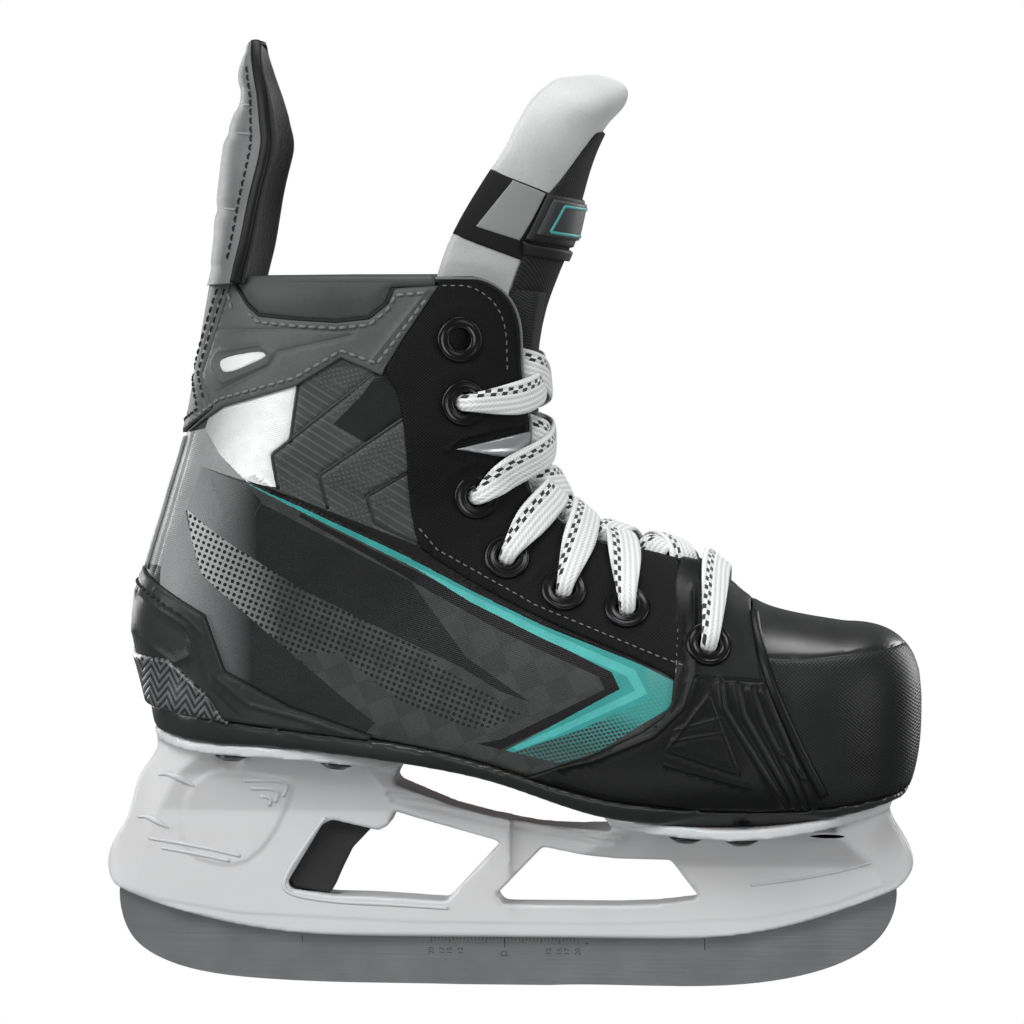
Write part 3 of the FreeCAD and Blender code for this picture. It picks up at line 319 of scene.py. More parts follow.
def panel_side(outline, side, top, bottom, step, regions, lines, shape, edge, corner):
    """One side of a panel: points, triangles, material picks and side-view places."""
    outline = rounded(outline, 2, True) if corner else np.asarray(outline, float)
    flat = to_flat(resample(outline, step * 0.7, True))
    keep = [0]
    for i in range(1, len(flat)):
        if np.linalg.norm(flat[i] - flat[keep[-1]]) > step * 0.45:
            keep.append(i)
    loop = flat[keep]
    closed_loop = np.vstack([loop, loop[:1]])
    count = len(loop)
    points, edges = [loop], [(i, (i + 1) % count) for i in range(count)]
    for area, index in regions:
        path = to_flat(resample(area, 0.9, True))
        path = path[inside(loop, path)]
        if len(path) > 2:
            points.append(path)
            gaps = np.linalg.norm(np.roll(path, -1, axis=0) - path, axis=1)
            edges += [(count + i, count + (i + 1) % len(path)) for i in range(len(path)) if gaps[i] < 4]
            count += len(path)
    run = np.roll(loop, -1, axis=0) - np.roll(loop, 1, axis=0)
    inward = np.stack([-run[:, 1], run[:, 0]], -1)
    inward = unit(inward)
    area = np.sum(loop[:, 0] * np.roll(loop[:, 1], -1) - np.roll(loop[:, 0], -1) * loop[:, 1])
    inward *= np.sign(area)
    spots = [loop + inward * edge]
    for path, half, depth in lines:
        path = even(path, 0.8)
        for aside in (0, -half * 0.5, half * 0.5, -half, half):
            spots.append(to_flat(shifted(path, aside)))
    low, high = loop.min(axis=0), loop.max(axis=0)
    rows = np.arange(low[1], high[1], step * 0.866)
    for k, w in enumerate(rows):
        us = np.arange(low[0] + (k % 2) * step / 2, high[0], step)
        spots.append(np.stack([us, np.full(len(us), w)], -1))
    lined = len(lines) * 5 + 1
    near = np.vstack(spots[:lined])
    near = near[inside(loop, near) & (distance_to(closed_loop, near) > edge * 0.6)]
    free = np.vstack(spots[lined:])
    free = free[inside(loop, free) & (distance_to(closed_loop, free) > step * 0.55)]
    for path, half, depth in lines:
        away = distance_to(to_flat(even(path, 0.8)), free)
        free = free[away > half + step * 0.3]
    points += [near, free]
    flat = np.vstack(points)
    found = delaunay_2d_cdt([Vector(p) for p in flat], edges, [], 1, 1e-4)
    flat = np.array([tuple(p) for p in found[0]])
    triangles = np.array([f for f in found[2] if len(f) == 3])
    u, w = flat.T
    base = surface(u, w, side, SURFACE)
    places = base[:, [0, 2]]
    ends = np.sort(np.vstack([triangles[:, [0, 1]], triangles[:, [1, 2]], triangles[:, [2, 0]]]), axis=1)
    rim, uses = np.unique(ends, axis=0, return_counts=True)
    rim = rim[uses == 1]
    at_rim = np.zeros(len(flat), bool)
    at_rim[rim.ravel()] = True
    limit = np.interp(u, U_ROWS, HALF_GIRTH)
    seam = (w < 0.05) | (w > limit - 0.05) | (u < 0.02)
    height = np.full(len(flat), float(top))
    for path, half, depth in lines:
        away = distance_to(np.asarray(path, float), places)
        height += depth * np.exp(-(away / (half * 0.6)) ** 2)
    if shape is not None:
        height += shape(places, flat, loop)
    height[at_rim & ~seam] -= min(edge, (top - bottom) * 0.5)
    upper = surface(u, w, side, height)
    under = surface(u, w, side, float(bottom))
    picks = np.zeros(len(triangles), int)
    centres = places[triangles].mean(axis=1)
    for area, index in regions:
        picks[inside(np.asarray(area, float), centres)] = index
    n = len(flat)
    walls = []
    directed = {(p, q) for a, b, c in triangles for p, q in ((a, b), (b, c), (c, a))}
    for a, b in rim:
        if seam[a] and seam[b]:
            continue
        p, q = (a, b) if (a, b) in directed else (b, a)
        walls.append((q, p, p + n, q + n))
    faces = [tuple(t) for t in triangles] + [tuple(t + n)[::-1] for t in triangles] + walls
    picks = np.concatenate([picks, picks, np.zeros(len(walls), int)])
    return np.vstack([upper, under]), faces, picks, np.vstack([places, places])


def panel(name, outline, materials, top=SURFACE, bottom=QUARTER_FACE, step=1.8, sides=BOTH, regions=(),
          lines=(), shape=None, edge=0.45, corner=True):
    """A layer of the boot inside a side-view outline, with rounded edges.

    regions are (outline, material number), and lines are (path, half width, height).
    """
    verts, faces, picks, places = [], [], [], []
    for side in sides:
        v, f, p, s = panel_side(outline, side, top, bottom, step, regions, lines, shape, edge, corner)
        start = sum(len(x) for x in verts)
        faces += [tuple(i + start for i in face) for face in f]
        verts.append(v)
        picks.append(p)
        places.append(s)
    return make(name, np.vstack(verts), faces, materials, np.concatenate(picks), np.vstack(places),
                merge=0.02)


def on_form(path, side, height, spacing):
    """Points, outward directions and side-view places along a side-view path, evenly spaced."""
    flat = to_flat(even(path, 0.5))
    u, w = flat.T
    points = surface(u, w, side, height)
    run = run_along(points)
    at = np.linspace(0, run[-1], max(2, int(round(run[-1] / spacing)) + 1))
    u, w = np.interp(at, run, u), np.interp(at, run, w)
    return surface(u, w, side, height), normals(u, w, side)


def tube_faces(rings, sides, closed=False):
    """Faces round and along a tube made of rings of points."""
    last = rings if closed else rings - 1
    return [(i * sides + j, i * sides + (j + 1) % sides, k * sides + (j + 1) % sides, k * sides + j)
            for i in range(last) for k in [(i + 1) % rings] for j in range(sides)]


def plate_faces(rows, columns):
    """Faces of a closed plate: an upper grid, a lower grid after it and the wall between them."""
    n = rows * columns
    faces = []
    for i in range(rows - 1):
        for j in range(columns - 1):
            p = i * columns + j
            faces.append((p, p + 1, p + columns + 1, p + columns))
            faces.append((p + n, p + columns + n, p + columns + 1 + n, p + 1 + n))
    loop = [*range(columns), *range(2 * columns - 1, n, columns), *range(n - 2, n - columns - 1, -1),
            *range(n - 2 * columns, 0, -columns)]
    return faces + [(q, p, p + n, q + n) for p, q in zip(loop, loop[1:] + loop[:1])]


def sweep(points, ups, width, height, sides=10, power=2.0, closed=False, caps=True):
    """A strip of oval section along points. width and height are half sizes, one value or one per point."""
    points, ups = np.asarray(points, float), np.asarray(ups, float)
    count = len(points)
    if closed:
        tangent = np.roll(points, -1, axis=0) - np.roll(points, 1, axis=0)
    else:
        tangent = np.gradient(points, axis=0)
    tangent = unit(tangent)
    ups = unit(ups - tangent * np.sum(ups * tangent, axis=1, keepdims=True))
    aside = np.cross(tangent, ups)
    angle = 2 * math.pi * np.arange(sides) / sides
    across = np.sign(np.cos(angle)) * np.abs(np.cos(angle)) ** (2 / power)
    rise = np.sign(np.sin(angle)) * np.abs(np.sin(angle)) ** (2 / power)
    width = np.broadcast_to(width, (count,))
    height = np.broadcast_to(height, (count,))
    verts = (points[:, None] + aside[:, None] * (across[None, :, None] * width[:, None, None])
             + ups[:, None] * (rise[None, :, None] * height[:, None, None]))
    faces = tube_faces(count, sides, closed)
    if caps and not closed:
        faces.append(tuple(range(sides))[::-1])
        faces.append(tuple(range((count - 1) * sides, count * sides)))
    run = run_along(points)
    uv = np.stack(np.broadcast_arrays(across[None] * width[:, None], run[:, None]), -1).reshape(-1, 2)
    return verts.reshape(-1, 3), faces, uv


def gather(parts):
    """Joins (points, faces, places) lists into one."""
    verts, faces, uvs, start = [], [], [], 0
    for v, f, uv in parts:
        verts.append(v)
        uvs.append(uv)
        faces += [tuple(i + start for i in face) for face in f]
        start += len(v)
    return np.vstack(verts), faces, np.vstack(uvs)


def joined(name, parts, material, **settings):
    verts, faces, uvs = gather(parts)
    return make(name, verts, faces, [material], uvs=uvs, **settings)


def strips(name, paths, material, width, height, lift, sides=BOTH, spacing=1.2, power=2.0):
    """Rounded beads along side-view paths on the form."""
    parts = []
    for side in sides:
        for path in paths:
            points, ups = on_form(path, side, lift, spacing)
            parts.append(sweep(points, ups, width, height, 8, power))
    return joined(name, parts, material)


def stitches(name, paths, material, lift=0.1, pitch=2.7, length=1.9, thick=0.34, sides=BOTH):
    """Rows of separate stitches along side-view paths on the form."""
    parts = []
    for side in sides:
        for path in paths:
            points, ups = on_form(path, side, lift, 0.4)
            parts += stitch_row(points, ups, pitch, length, thick)
    return joined(name, parts, material)


def stitch_row(points, ups, pitch, length, thick):
    """Plump stitches whose ends dip below the surface."""
    run = run_along(points)
    rows = []
    share = np.array([0, 0.12, 0.5, 0.88, 1.0])
    plump = np.array([0.35, 0.85, 1.0, 0.85, 0.35])
    sink = np.array([-0.3, 0.05, 0.2, 0.05, -0.3])
    for start in np.arange(pitch * 0.3, run[-1] - length, pitch):
        at = start + share * length
        spot = np.stack([np.interp(at, run, c) for c in points.T], -1)
        up = np.stack([np.interp(at, run, c) for c in ups.T], -1)
        rows.append(sweep(spot + up * (sink * thick * 2)[:, None], up, thick * plump, thick * plump, 6))
    return rows


# ================================================================ materials
class Finish:
    """A node material: a principled shader with helpers that add what feeds it."""

    def __init__(self, name, colour, rough, **sockets):
        self.material = bpy.data.materials.new(name)
        self.material.use_nodes = True
        self.tree = self.material.node_tree
        self.shader = self.tree.nodes["Principled BSDF"]
        self.shader.inputs["Base Color"].default_value = (*colour, 1)
        self.shader.inputs["Roughness"].default_value = rough
        for key, value in sockets.items():
            self.shader.inputs[key.replace("_", " ")].default_value = value

    def node(self, kind, values=(), **settings):
        made = self.tree.nodes.new("ShaderNode" + kind)
        for key, value in settings.items():
            setattr(made, key, value)
        for key, value in dict(values).items():
            if isinstance(value, bpy.types.NodeSocket):
                self.tree.links.new(value, made.inputs[key])
            else:
                made.inputs[key].default_value = value
        return made

    def math(self, operation, a, b=0.0, c=0.0):
        return self.node("Math", {0: a, 1: b, 2: c}, operation=operation).outputs[0]

    def space(self):
        """Places on the piece at rest, in mm."""
        where = self.node("TexCoord").outputs["Object"]
        return self.node("VectorMath", {0: where, "Scale": 1000.0}, operation="SCALE").outputs[0]

    def side(self, turn=0.0):
        """Across and along places in mm from the piece's own map."""
        spot = self.node("UVMap", uv_map="side").outputs[0]
        spot = self.node("Mapping", {"Vector": spot, "Rotation": (0, 0, turn)}).outputs[0]
        parts = self.node("SeparateXYZ", {0: spot}).outputs
        return parts[0], parts[1]

    def noise(self, scale, detail=3.0, stretch=(1, 1, 1), rough=0.5):
        where = self.node("Mapping", {"Vector": self.space(), "Scale": stretch}).outputs[0]
        return self.node("TexNoise", {"Vector": where, "Scale": scale, "Detail": detail,
                                      "Roughness": rough}).outputs[0]

    def spread(self, value, low, high, to_low=0.0, to_high=1.0):
        return self.node("MapRange", {0: value, 1: low, 2: high, 3: to_low, 4: to_high}).outputs[0]

    def blend(self, share, a, b):
        def rgba(c):
            return c if isinstance(c, bpy.types.NodeSocket) else (*c, 1)
        made = self.node("Mix", {0: share, 6: rgba(a), 7: rgba(b)}, data_type="RGBA")
        return made.outputs[2]

    def paint(self, colour):
        self.tree.links.new(colour, self.shader.inputs["Base Color"])

    def roughen(self, value, low, high):
        self.tree.links.new(self.spread(value, 0, 1, low, high), self.shader.inputs["Roughness"])

    def bump(self, height, depth, strength=1.0):
        values = {"Height": height, "Distance": depth * MM, "Strength": strength}
        before = self.shader.inputs["Normal"].links
        if before:
            values["Normal"] = before[0].from_socket
        made = self.node("Bump", values)
        self.tree.links.new(made.outputs[0], self.shader.inputs["Normal"])

    def wave(self, value, pitch):
        return self.math("SINE", self.math("MULTIPLY", value, 2 * math.pi / pitch))


def scaled(colour, factor):
    return tuple(min(1.0, c * factor) for c in colour)


def plastic(name, colour, rough=0.4, grain=0.9, depth=0.05, vary=0.12, **sockets):
    """Moulded plastic or rubber: fine grain, slight blotches and rubbed gloss."""
    f = Finish(name, colour, rough, **sockets)
    fine = f.noise(grain, 4)
    broad = f.noise(0.05, 3)
    f.paint(f.blend(f.spread(broad, 0.3, 0.7), scaled(colour, 1 - vary), scaled(colour, 1 + vary)))
    f.roughen(f.noise(0.12, 4), rough * 0.8, rough * 1.2)
    f.bump(fine, depth)
    return f


def woven(name, colour, bright, pitch=1.0, depth=0.16, rough=0.75, turn=0.0, **sockets):
    """Plain weave: raised threads both ways over dark gaps."""
    f = Finish(name, colour, rough, Specular_IOR_Level=0.16, **sockets)
    u, v = f.side(turn)
    warp, weft = f.wave(u, pitch), f.wave(v, pitch * 0.86)
    cross = f.math("MULTIPLY", warp, weft)
    lift = f.spread(cross, -1, 1)
    fuzz = f.noise(1.6, 4)
    lift = f.math("ADD", f.math("MULTIPLY", lift, 0.8), f.math("MULTIPLY", fuzz, 0.4))
    f.paint(f.blend(f.spread(lift, 0.35, 1.0), colour, bright))
    f.roughen(fuzz, rough * 0.85, min(1.0, rough * 1.15))
    f.bump(lift, depth)
    return f


def leather(name, colour, rough=0.5, cell=0.9, depth=0.07, vary=0.16, **sockets):
    """Grained synthetic leather, a little paler where it is rubbed."""
    f = Finish(name, colour, rough, Specular_IOR_Level=0.16, **sockets)
    cells = f.node("TexVoronoi", {"Vector": f.space(), "Scale": cell}, feature="DISTANCE_TO_EDGE").outputs[0]
    pores = f.spread(cells, 0, 0.25)
    broad = f.noise(0.06, 4)
    tone = f.blend(f.spread(broad, 0.3, 0.7), scaled(colour, 1 - vary), scaled(colour, 1 + vary))
    f.paint(f.blend(f.math("MULTIPLY", f.math("SUBTRACT", 1.0, pores), 0.35), tone, scaled(colour, 0.6)))
    f.roughen(f.noise(0.3, 4), rough * 0.85, rough * 1.15)
    f.bump(pores, depth)
    return f


def felted(name, colour, shade, depth=0.3, rough=0.95, pile=1.3, **sockets):
    """Felt or brushed cloth: tangled fibres with a soft sheen."""
    f = Finish(name, colour, rough, Sheen_Weight=0.4, Sheen_Roughness=0.5, **sockets)
    fibres = f.noise(pile, 6, rough=0.7)
    broad = f.noise(0.09, 3)
    mixed = f.math("ADD", f.math("MULTIPLY", fibres, 0.6), f.math("MULTIPLY", broad, 0.4))
    f.paint(f.blend(f.spread(mixed, 0.35, 0.65), shade, colour))
    f.bump(fibres, depth)
    return f


def carbon(name, dark, pale, column=2.7, pitch=2.5):
    """Herringbone weave under clear resin."""
    f = Finish(name, dark, 0.35, Coat_Weight=0.35, Coat_Roughness=0.2)
    u, v = f.side(0.12)
    number = f.math("DIVIDE", u, column)
    inner = f.math("PINGPONG", number, 1.0)
    slant = f.math("ADD", v, f.math("MULTIPLY", inner, column * 1.5))
    ribs = f.spread(f.wave(slant, pitch), -0.6, 0.6)
    f.paint(f.blend(ribs, dark, pale))
    f.bump(ribs, 0.12)
    return f


def printed(name, colour, rough=0.45, **sockets):
    """Printed film over the quarter: a faint fine mesh shows through."""
    f = Finish(name, colour, rough, Specular_IOR_Level=0.16, **sockets)
    u, v = f.side(0.5)
    mesh = f.math("MULTIPLY", f.wave(u, 0.7), f.wave(v, 0.7))
    tone = f.spread(f.noise(0.12, 4), 0.3, 0.7)
    f.tone = f.blend(tone, scaled(colour, 0.88), scaled(colour, 1.14))
    f.tone = f.blend(f.spread(mesh, 0.2, 1.0, 0, 0.35), f.tone, scaled(colour, 1.35))
    f.paint(f.tone)
    f.roughen(f.noise(0.4, 3), rough * 0.8, rough * 1.2)
    f.bump(mesh, 0.03)
    return f


BLACK = (0.010, 0.010, 0.011)
SLATE = (0.088, 0.093, 0.092)
TEAL = (0.035, 0.26, 0.243)
BRIGHT_TEAL = (0.06, 0.36, 0.34)
WHITE = (0.80, 0.805, 0.81)


def checkered(name, colour, contrast=0.2):
    """Carbon-look print: tilted squares, each with its own fine weave."""
    f = printed(name, colour, 0.42)
    u, v = f.side(-0.42)
    squares = f.node("CombineXYZ", {0: u, 1: v}).outputs[0]
    check = f.node("TexChecker", {"Vector": squares, "Scale": 1 / 6.6}).outputs[1]
    shaded = f.blend(f.math("MULTIPLY", check, contrast * 2), f.tone, scaled(colour, 0.55))
    f.paint(shaded)
    f.tone = shaded
    return f


def fade_along_x(f, start, end):
    """0 to 1 along the side view from one x to another."""
    u, v = f.side()
    return f.spread(u, start, end)


def halftone(name, colour, pale):
    """Rows of black dots over the checkered print, with a painted highlight that makes it paler to the heel.
    """
    f = checkered(name, colour)
    # painted highlight: the print fades to a pale grey toward the heel
    base = f.blend(fade_along_x(f, -84, -58), pale, f.tone)
    u, v = f.side(math.radians(45 - 24))
    spots = []
    for value in (u, v):
        part = f.math("SUBTRACT", f.math("FRACT", f.math("DIVIDE", value, 1.62)), 0.5)
        spots.append(f.math("MULTIPLY", part, part))
    away = f.math("SQRT", f.math("ADD", spots[0], spots[1]))
    dot = f.spread(away, 0.30, 0.34, 1, 0)
    f.paint(f.blend(dot, base, BLACK))
    return f


def silver(name):
    """Printed silver with a painted highlight: bright near the collar, greyer to the heel where the painted
    highlight fades.
    """
    f = printed(name, (0.55, 0.56, 0.57), 0.38, Metallic=0.15)
    u, v = f.side()
    along = f.math("ADD", u, f.math("MULTIPLY", v, -0.35))
    # painted highlight: the silver is brightest near the collar and falls to grey toward the heel
    bright = f.spread(along, -139, -116)
    flecked = f.blend(f.noise(0.3, 5), (0.62, 0.63, 0.63), (0.85, 0.86, 0.86))
    f.paint(f.blend(bright, (0.2, 0.203, 0.205), flecked))
    return f


def brushed_steel(name):
    f = Finish(name, (0.28, 0.285, 0.29), 0.38, Metallic=0.55)
    lines = f.noise(1.1, 4, (0.04, 1, 1.6))
    blotch = f.noise(0.09, 5)
    f.paint(f.blend(f.spread(blotch, 0.3, 0.7), (0.15, 0.154, 0.156), (0.185, 0.188, 0.19)))
    f.roughen(lines, 0.28, 0.46)
    f.bump(lines, 0.03)
    return f


def teal_texture(name):
    """Raised teal marks over black, thinning to the sole."""
    f = Finish(name, TEAL, 0.4)
    u, v = f.side(0.35)
    marks = f.math("MULTIPLY", f.wave(u, 1.9), f.wave(v, 1.25))
    share = f.spread(marks, -0.35, 0.1)
    x, z = f.side()
    low = f.spread(f.math("ADD", z, f.math("MULTIPLY", x, 0.25)), 72, 86)
    share = f.math("MULTIPLY", share, f.spread(low, 0, 1, 0.35, 1))
    share = f.math("MAXIMUM", share, f.spread(low, 0.62, 1.0, 0, 0.85))
    f.paint(f.blend(share, (0.012, 0.016, 0.016), TEAL))
    f.bump(share, 0.15)
    return f


def braided(name):
    """Flat woven lace: chevron ribs, with two broken black tracers."""
    f = Finish(name, WHITE, 0.85, Sheen_Weight=0.3)
    u, v = f.side()
    slope = f.math("ABSOLUTE", u)
    step = f.wave(f.math("ADD", v, f.math("MULTIPLY", u, 0.5)), 3.6)
    chevron = f.wave(f.math("ADD", v, f.math("MULTIPLY", slope, 1.1)), 1.15)
    ribs = f.wave(u, 1.45)
    lift = f.math("ADD", f.math("MULTIPLY", chevron, 0.35), f.math("MULTIPLY", ribs, 0.65))
    lift = f.spread(lift, -1, 1)
    pale = f.blend(lift, (0.50, 0.51, 0.51), (0.84, 0.845, 0.84))
    tracer = 0.0
    for centre, phase in ((-2.75, 1.0), (-1.75, -1.0)):
        near = f.math("LESS_THAN", f.math("ABSOLUTE", f.math("SUBTRACT", u, centre)), 0.46)
        dash = f.math("GREATER_THAN", f.math("MULTIPLY", step, phase), 0.05)
        tracer = f.math("ADD", tracer, f.math("MULTIPLY", near, dash))
    f.paint(f.blend(tracer, pale, (0.012, 0.012, 0.013)))
    f.bump(lift, 0.22)
    f.bump(f.noise(2.2, 4), 0.08)
    return f


def quarter_shadow(name, colour, slant):
    """Dark moulded print with slanted hatching and small cells, mixed in soft patches."""
    f = printed(name, colour, 0.4)
    u, v = f.side(slant)
    hatch = f.wave(v, 2.1)
    cells = f.math("MULTIPLY", f.wave(u, 1.75), f.wave(v, 1.75))
    mask = f.spread(f.noise(0.07, 2), 0.42, 0.58)
    mark = f.math("ADD", f.math("MULTIPLY", f.spread(cells, 0.15, 0.5), f.math("SUBTRACT", 1.0, mask)),
                  f.math("MULTIPLY", f.spread(hatch, 0.3, 0.9), mask))
    f.paint(f.blend(f.math("MULTIPLY", mark, 0.55), f.tone, scaled(colour, 2.2)))
    f.bump(mark, 0.12)
    return f


M = {
    "holder": plastic("holder_nylon", (0.57, 0.574, 0.578), 0.32, 0.5, 0.02, 0.02, Subsurface_Weight=0.06),
    "steel": brushed_steel("runner_steel"),
    "mark": plastic("scale_ink", (0.03, 0.03, 0.03), 0.6),
    "rivet": plastic("rivet_steel", (0.05, 0.05, 0.052), 0.3, Metallic=0.8),
    "pin": plastic("pin_steel", (0.4, 0.4, 0.41), 0.3, Metallic=0.9),
    "trigger": plastic("trigger_nylon", (0.006, 0.006, 0.0062), 0.6, 0.8, 0.06),
    "outsole": plastic("outsole_compound", (0.017, 0.0185, 0.018), 0.36, 0.7, 0.05, 0.2),
    "board": woven("board_fibre", (0.16, 0.13, 0.09), (0.25, 0.2, 0.14), 1.2),
    "footbed": woven("footbed_cloth", (0.03, 0.03, 0.032), (0.08, 0.085, 0.085), 1.6),
    "lining": felted("lining_microfibre", (0.05, 0.051, 0.052), (0.022, 0.022, 0.023), 0.2),
    "carbon": carbon("heel_carbon", (0.012, 0.012, 0.013), (0.10, 0.102, 0.104)),
    "rubber": leather("heel_rubber", (0.028, 0.029, 0.029), 0.36, 1.7, 0.012),
    "strap": leather("strap_leather", (0.082, 0.086, 0.086), 0.5, 1.7, 0.02),
    "collar": leather("collar_leather", SLATE, 0.45, 1.7, 0.02),
    "comfort": leather("comfort_leather", (0.058, 0.062, 0.061), 0.5, 1.7, 0.025),
    "back": printed("back_film", (0.20, 0.204, 0.206), 0.32),
    "eyestay": woven("eyestay_nylon", (0.0018, 0.0018, 0.0019), (0.008, 0.0082, 0.0084), 1.0, 0.2, 0.7),
    "edging": leather("edging_trim", (0.007, 0.0072, 0.0074), 0.4, 1.8, 0.015),
    "silver_insert": plastic("insert_silver", (0.42, 0.43, 0.44), 0.3, 0.6, 0.02, Metallic=0.5),
    "pale_insert": plastic("insert_reflective", (0.6, 0.606, 0.606), 0.35, 0.6, 0.03),
    "eyelet": plastic("eyelet_black", BLACK, 0.25, 1.0, 0.02, Metallic=0.6),
    "wrap": leather("wrap_leather", (0.007, 0.0073, 0.0076), 0.38, 1.8, 0.012),
    "patch": leather("wrap_patch", (0.012, 0.0125, 0.0125), 0.6, 1.8, 0.02),
    "cap": plastic("toe_cap_gloss", (0.0075, 0.0078, 0.008), 0.36, 0.4, 0.01, 0.2, Coat_Weight=0.15,
                   Coat_Roughness=0.3),
    "cap_low": woven("toe_cap_texture", (0.008, 0.0083, 0.0086), (0.018, 0.0185, 0.019), 1.1, 0.09, 0.4),
    "guard": leather("guard_moulding", (0.14, 0.144, 0.145), 0.42, 1.5, 0.025),
    "felt_dark": felted("guard_felt", (0.006, 0.006, 0.0063), (0.002, 0.002, 0.0022), 0.5),
    "felt": felted("tongue_felt_white", (0.56, 0.565, 0.565), (0.46, 0.465, 0.465), 0.22, 0.95, 1.8),
    "tongue_cloth": woven("tongue_cloth", (0.011, 0.011, 0.012), (0.04, 0.041, 0.042), 1.0, 0.2, 0.8),
    "label": woven("label_black", (0.011, 0.011, 0.012), (0.022, 0.022, 0.023), 0.6, 0.05, 0.7),
    "label_grey": woven("label_grey", (0.27, 0.275, 0.275), (0.33, 0.335, 0.335), 0.6, 0.04, 0.7),
    "badge": plastic("badge_rubber", (0.035, 0.037, 0.038), 0.5, 1.0, 0.04),
    "teal": plastic("badge_teal", BRIGHT_TEAL, 0.45, 1.0, 0.02),
    "lace": braided("lace_cotton"),
    "aglet": plastic("aglet_clear", (0.6, 0.6, 0.6), 0.3),
    "thread": woven("thread_black", (0.012, 0.012, 0.013), (0.03, 0.03, 0.031), 0.5, 0.05, 0.7),
    "thread_grey": woven("thread_grey", (0.09, 0.092, 0.092), (0.26, 0.265, 0.265), 0.5, 0.05, 0.7),
    "q_carbon": checkered("quarter_checker", (0.042, 0.044, 0.044)),
    "q_silver": silver("quarter_silver_painted_highlight"),
    "q_hatch": quarter_shadow("quarter_hatch", (0.05, 0.052, 0.052), 0.55),
    "q_black": printed("quarter_black", (0.0085, 0.0085, 0.009), 0.35),
    # painted shadow: the darkest print, laid over the SHADE region as a soft shadow on the hexagonal cells
    "q_dark": printed("quarter_painted_shadow", (0.014, 0.0145, 0.0145), 0.3),
    "q_teal": printed("quarter_teal", TEAL, 0.4),
    "q_bright": printed("quarter_bright_teal", (0.07, 0.37, 0.35), 0.38),
    "q_texture": teal_texture("quarter_teal_texture"),
    "q_dots": halftone("quarter_halftone_painted_highlight", (0.048, 0.05, 0.05), (0.40, 0.41, 0.41)),
    "q_grey": printed("quarter_grey", (0.22, 0.225, 0.226), 0.35),
    "q_groove": plastic("quarter_groove", BLACK, 0.5),
}


def fading(name, start, end, pale, dark, rough=0.32):
    """A dark print with a painted highlight: pale at the start and darkening along the side view."""
    f = printed(name, dark, rough)
    f.paint(f.blend(fade_along_x(f, start, end), pale, f.tone))
    return f


# painted highlight on the dark bands and the low quarter: pale toward the heel, dark from the middle forward
M["q_gradient"] = fading("quarter_gradient_painted_highlight", -88, -64, (0.26, 0.265, 0.268), (0.013, 0.0135, 0.0135))
M["q_low"] = fading("quarter_low_painted_highlight", -88, -66, (0.24, 0.245, 0.247), (0.016, 0.0165, 0.017))
MAT = {key: finish.material for key, finish in M.items()}

# ================================================================ outlines in side view, (x, z) in mm
SOLE_TOP = [(-104, 79), (-96.5, 78), (-79.7, 75.1), (-54.7, 71.8), (-33.9, 69.4), (-11.7, 65.4),
            (9.2, 59.3), (29.8, 53.9), (53.4, 51.3), (69.9, 50.6), (89.2, 52), (107, 55), (116, 57)]
TOE_EDGE = [(67.2, 104), (68.2, 98), (72.2, 85), (80, 67.4), (90, 48)]
COLLAR_LOWER = [(-14.9, 191.6), (-29.5, 168.5), (-30.3, 166.4), (-41.2, 171.1), (-53.4, 163.6),
                (-74.4, 157.7), (-85.3, 150.7)]
EYESTAY_LOWER = [(-29.4, 166.7), (-24.6, 160), (-22.6, 123.9), (-17.5, 117.7), (9, 103.2), (42.1, 90),
                 (49.8, 87.3)]
WRAP_REAR = [(47.5, 118), (46.4, 110), (47.6, 82), (43, 74.5), (25.6, 66), (8, 59)]
HEEL_OVERLAY_TOP = [(-112, 117), (-98.1, 113), (-78.6, 102.2), (-73.2, 87.3), (-55.6, 77.8), (-33.9, 70.4)]
HEEL_SUPPORT_TOP = [(-112, 92), (-88, 90.5), (-77, 81), (-72, 73)]
GUARD_STRAP = [(-71.5, 192.5), (-80.5, 166), (-77.2, 157.2), (-87.8, 150.1), (-112, 147), (-112, 192.5)]
EYESTAY_INSERT = [(-10.9, 146.8), (7.6, 151.1), (8, 150.8), (8, 143.6), (7.6, 143.4)]
COLLAR_INSERT = [(-74.2, 171), (-62.7, 173.1), (-61, 171.8), (-61.8, 170.8), (-72.9, 166.2), (-75, 168.6)]


def sole_height(x):
    xs, zs = np.array(SOLE_TOP).T
    return np.interp(x, xs, zs)


def sole_run(start, end, lift=0.0):
    """The outsole's top edge between two x places."""
    inner = [x for x, z in SOLE_TOP if min(start, end) < x < max(start, end)]
    xs = sorted([start, end] + inner, reverse=start > end)
    return [(x, float(sole_height(x)) + lift) for x in xs]


def throat_w(q):
    """Flat place of the opening's edge at a station."""
    x, y, z = instep_point(q, LATERAL * float(keyed(THROAT, q)), SURFACE)
    return float(to_flat([(float(x), float(z))])[0][1])


def height_station(z):
    return 90 + z - PIVOT_Z


def flat_u(q):
    return float(np.interp(q, Q_ROWS, U_ROWS))


def opening_path(top=191.2):
    """Flat places of the opening's edge: up the throat, round the eyestay's corner and back to the heel."""
    straight_run = [(flat_u(q), throat_w(q)) for q in np.linspace(-26, height_station(171), 48)]
    corner_w = throat_w(height_station(top))
    corner = [(flat_u(height_station(z)), throat_w(height_station(z)) - inset)
              for z, inset in ((172.5, 0), (180, 0.5), (187, 4.2), (top, 11), (top, 17))]
    back = [(flat_u(height_station(top)), w) for w in np.linspace(corner_w - 18, 0, 60)]
    return np.array(straight_run + [tuple(p) for p in rounded(corner, 2)] + back)


OPENING = opening_path()
OPENING_SIDE = surface(OPENING[:, 0], OPENING[:, 1], LATERAL, SURFACE)[:, [0, 2]]
CORNER_X = -15.7
front = OPENING_SIDE[:, 0] > CORNER_X
EYESTAY_FRONT = [tuple(p) for p in OPENING_SIDE[front]][::-1]

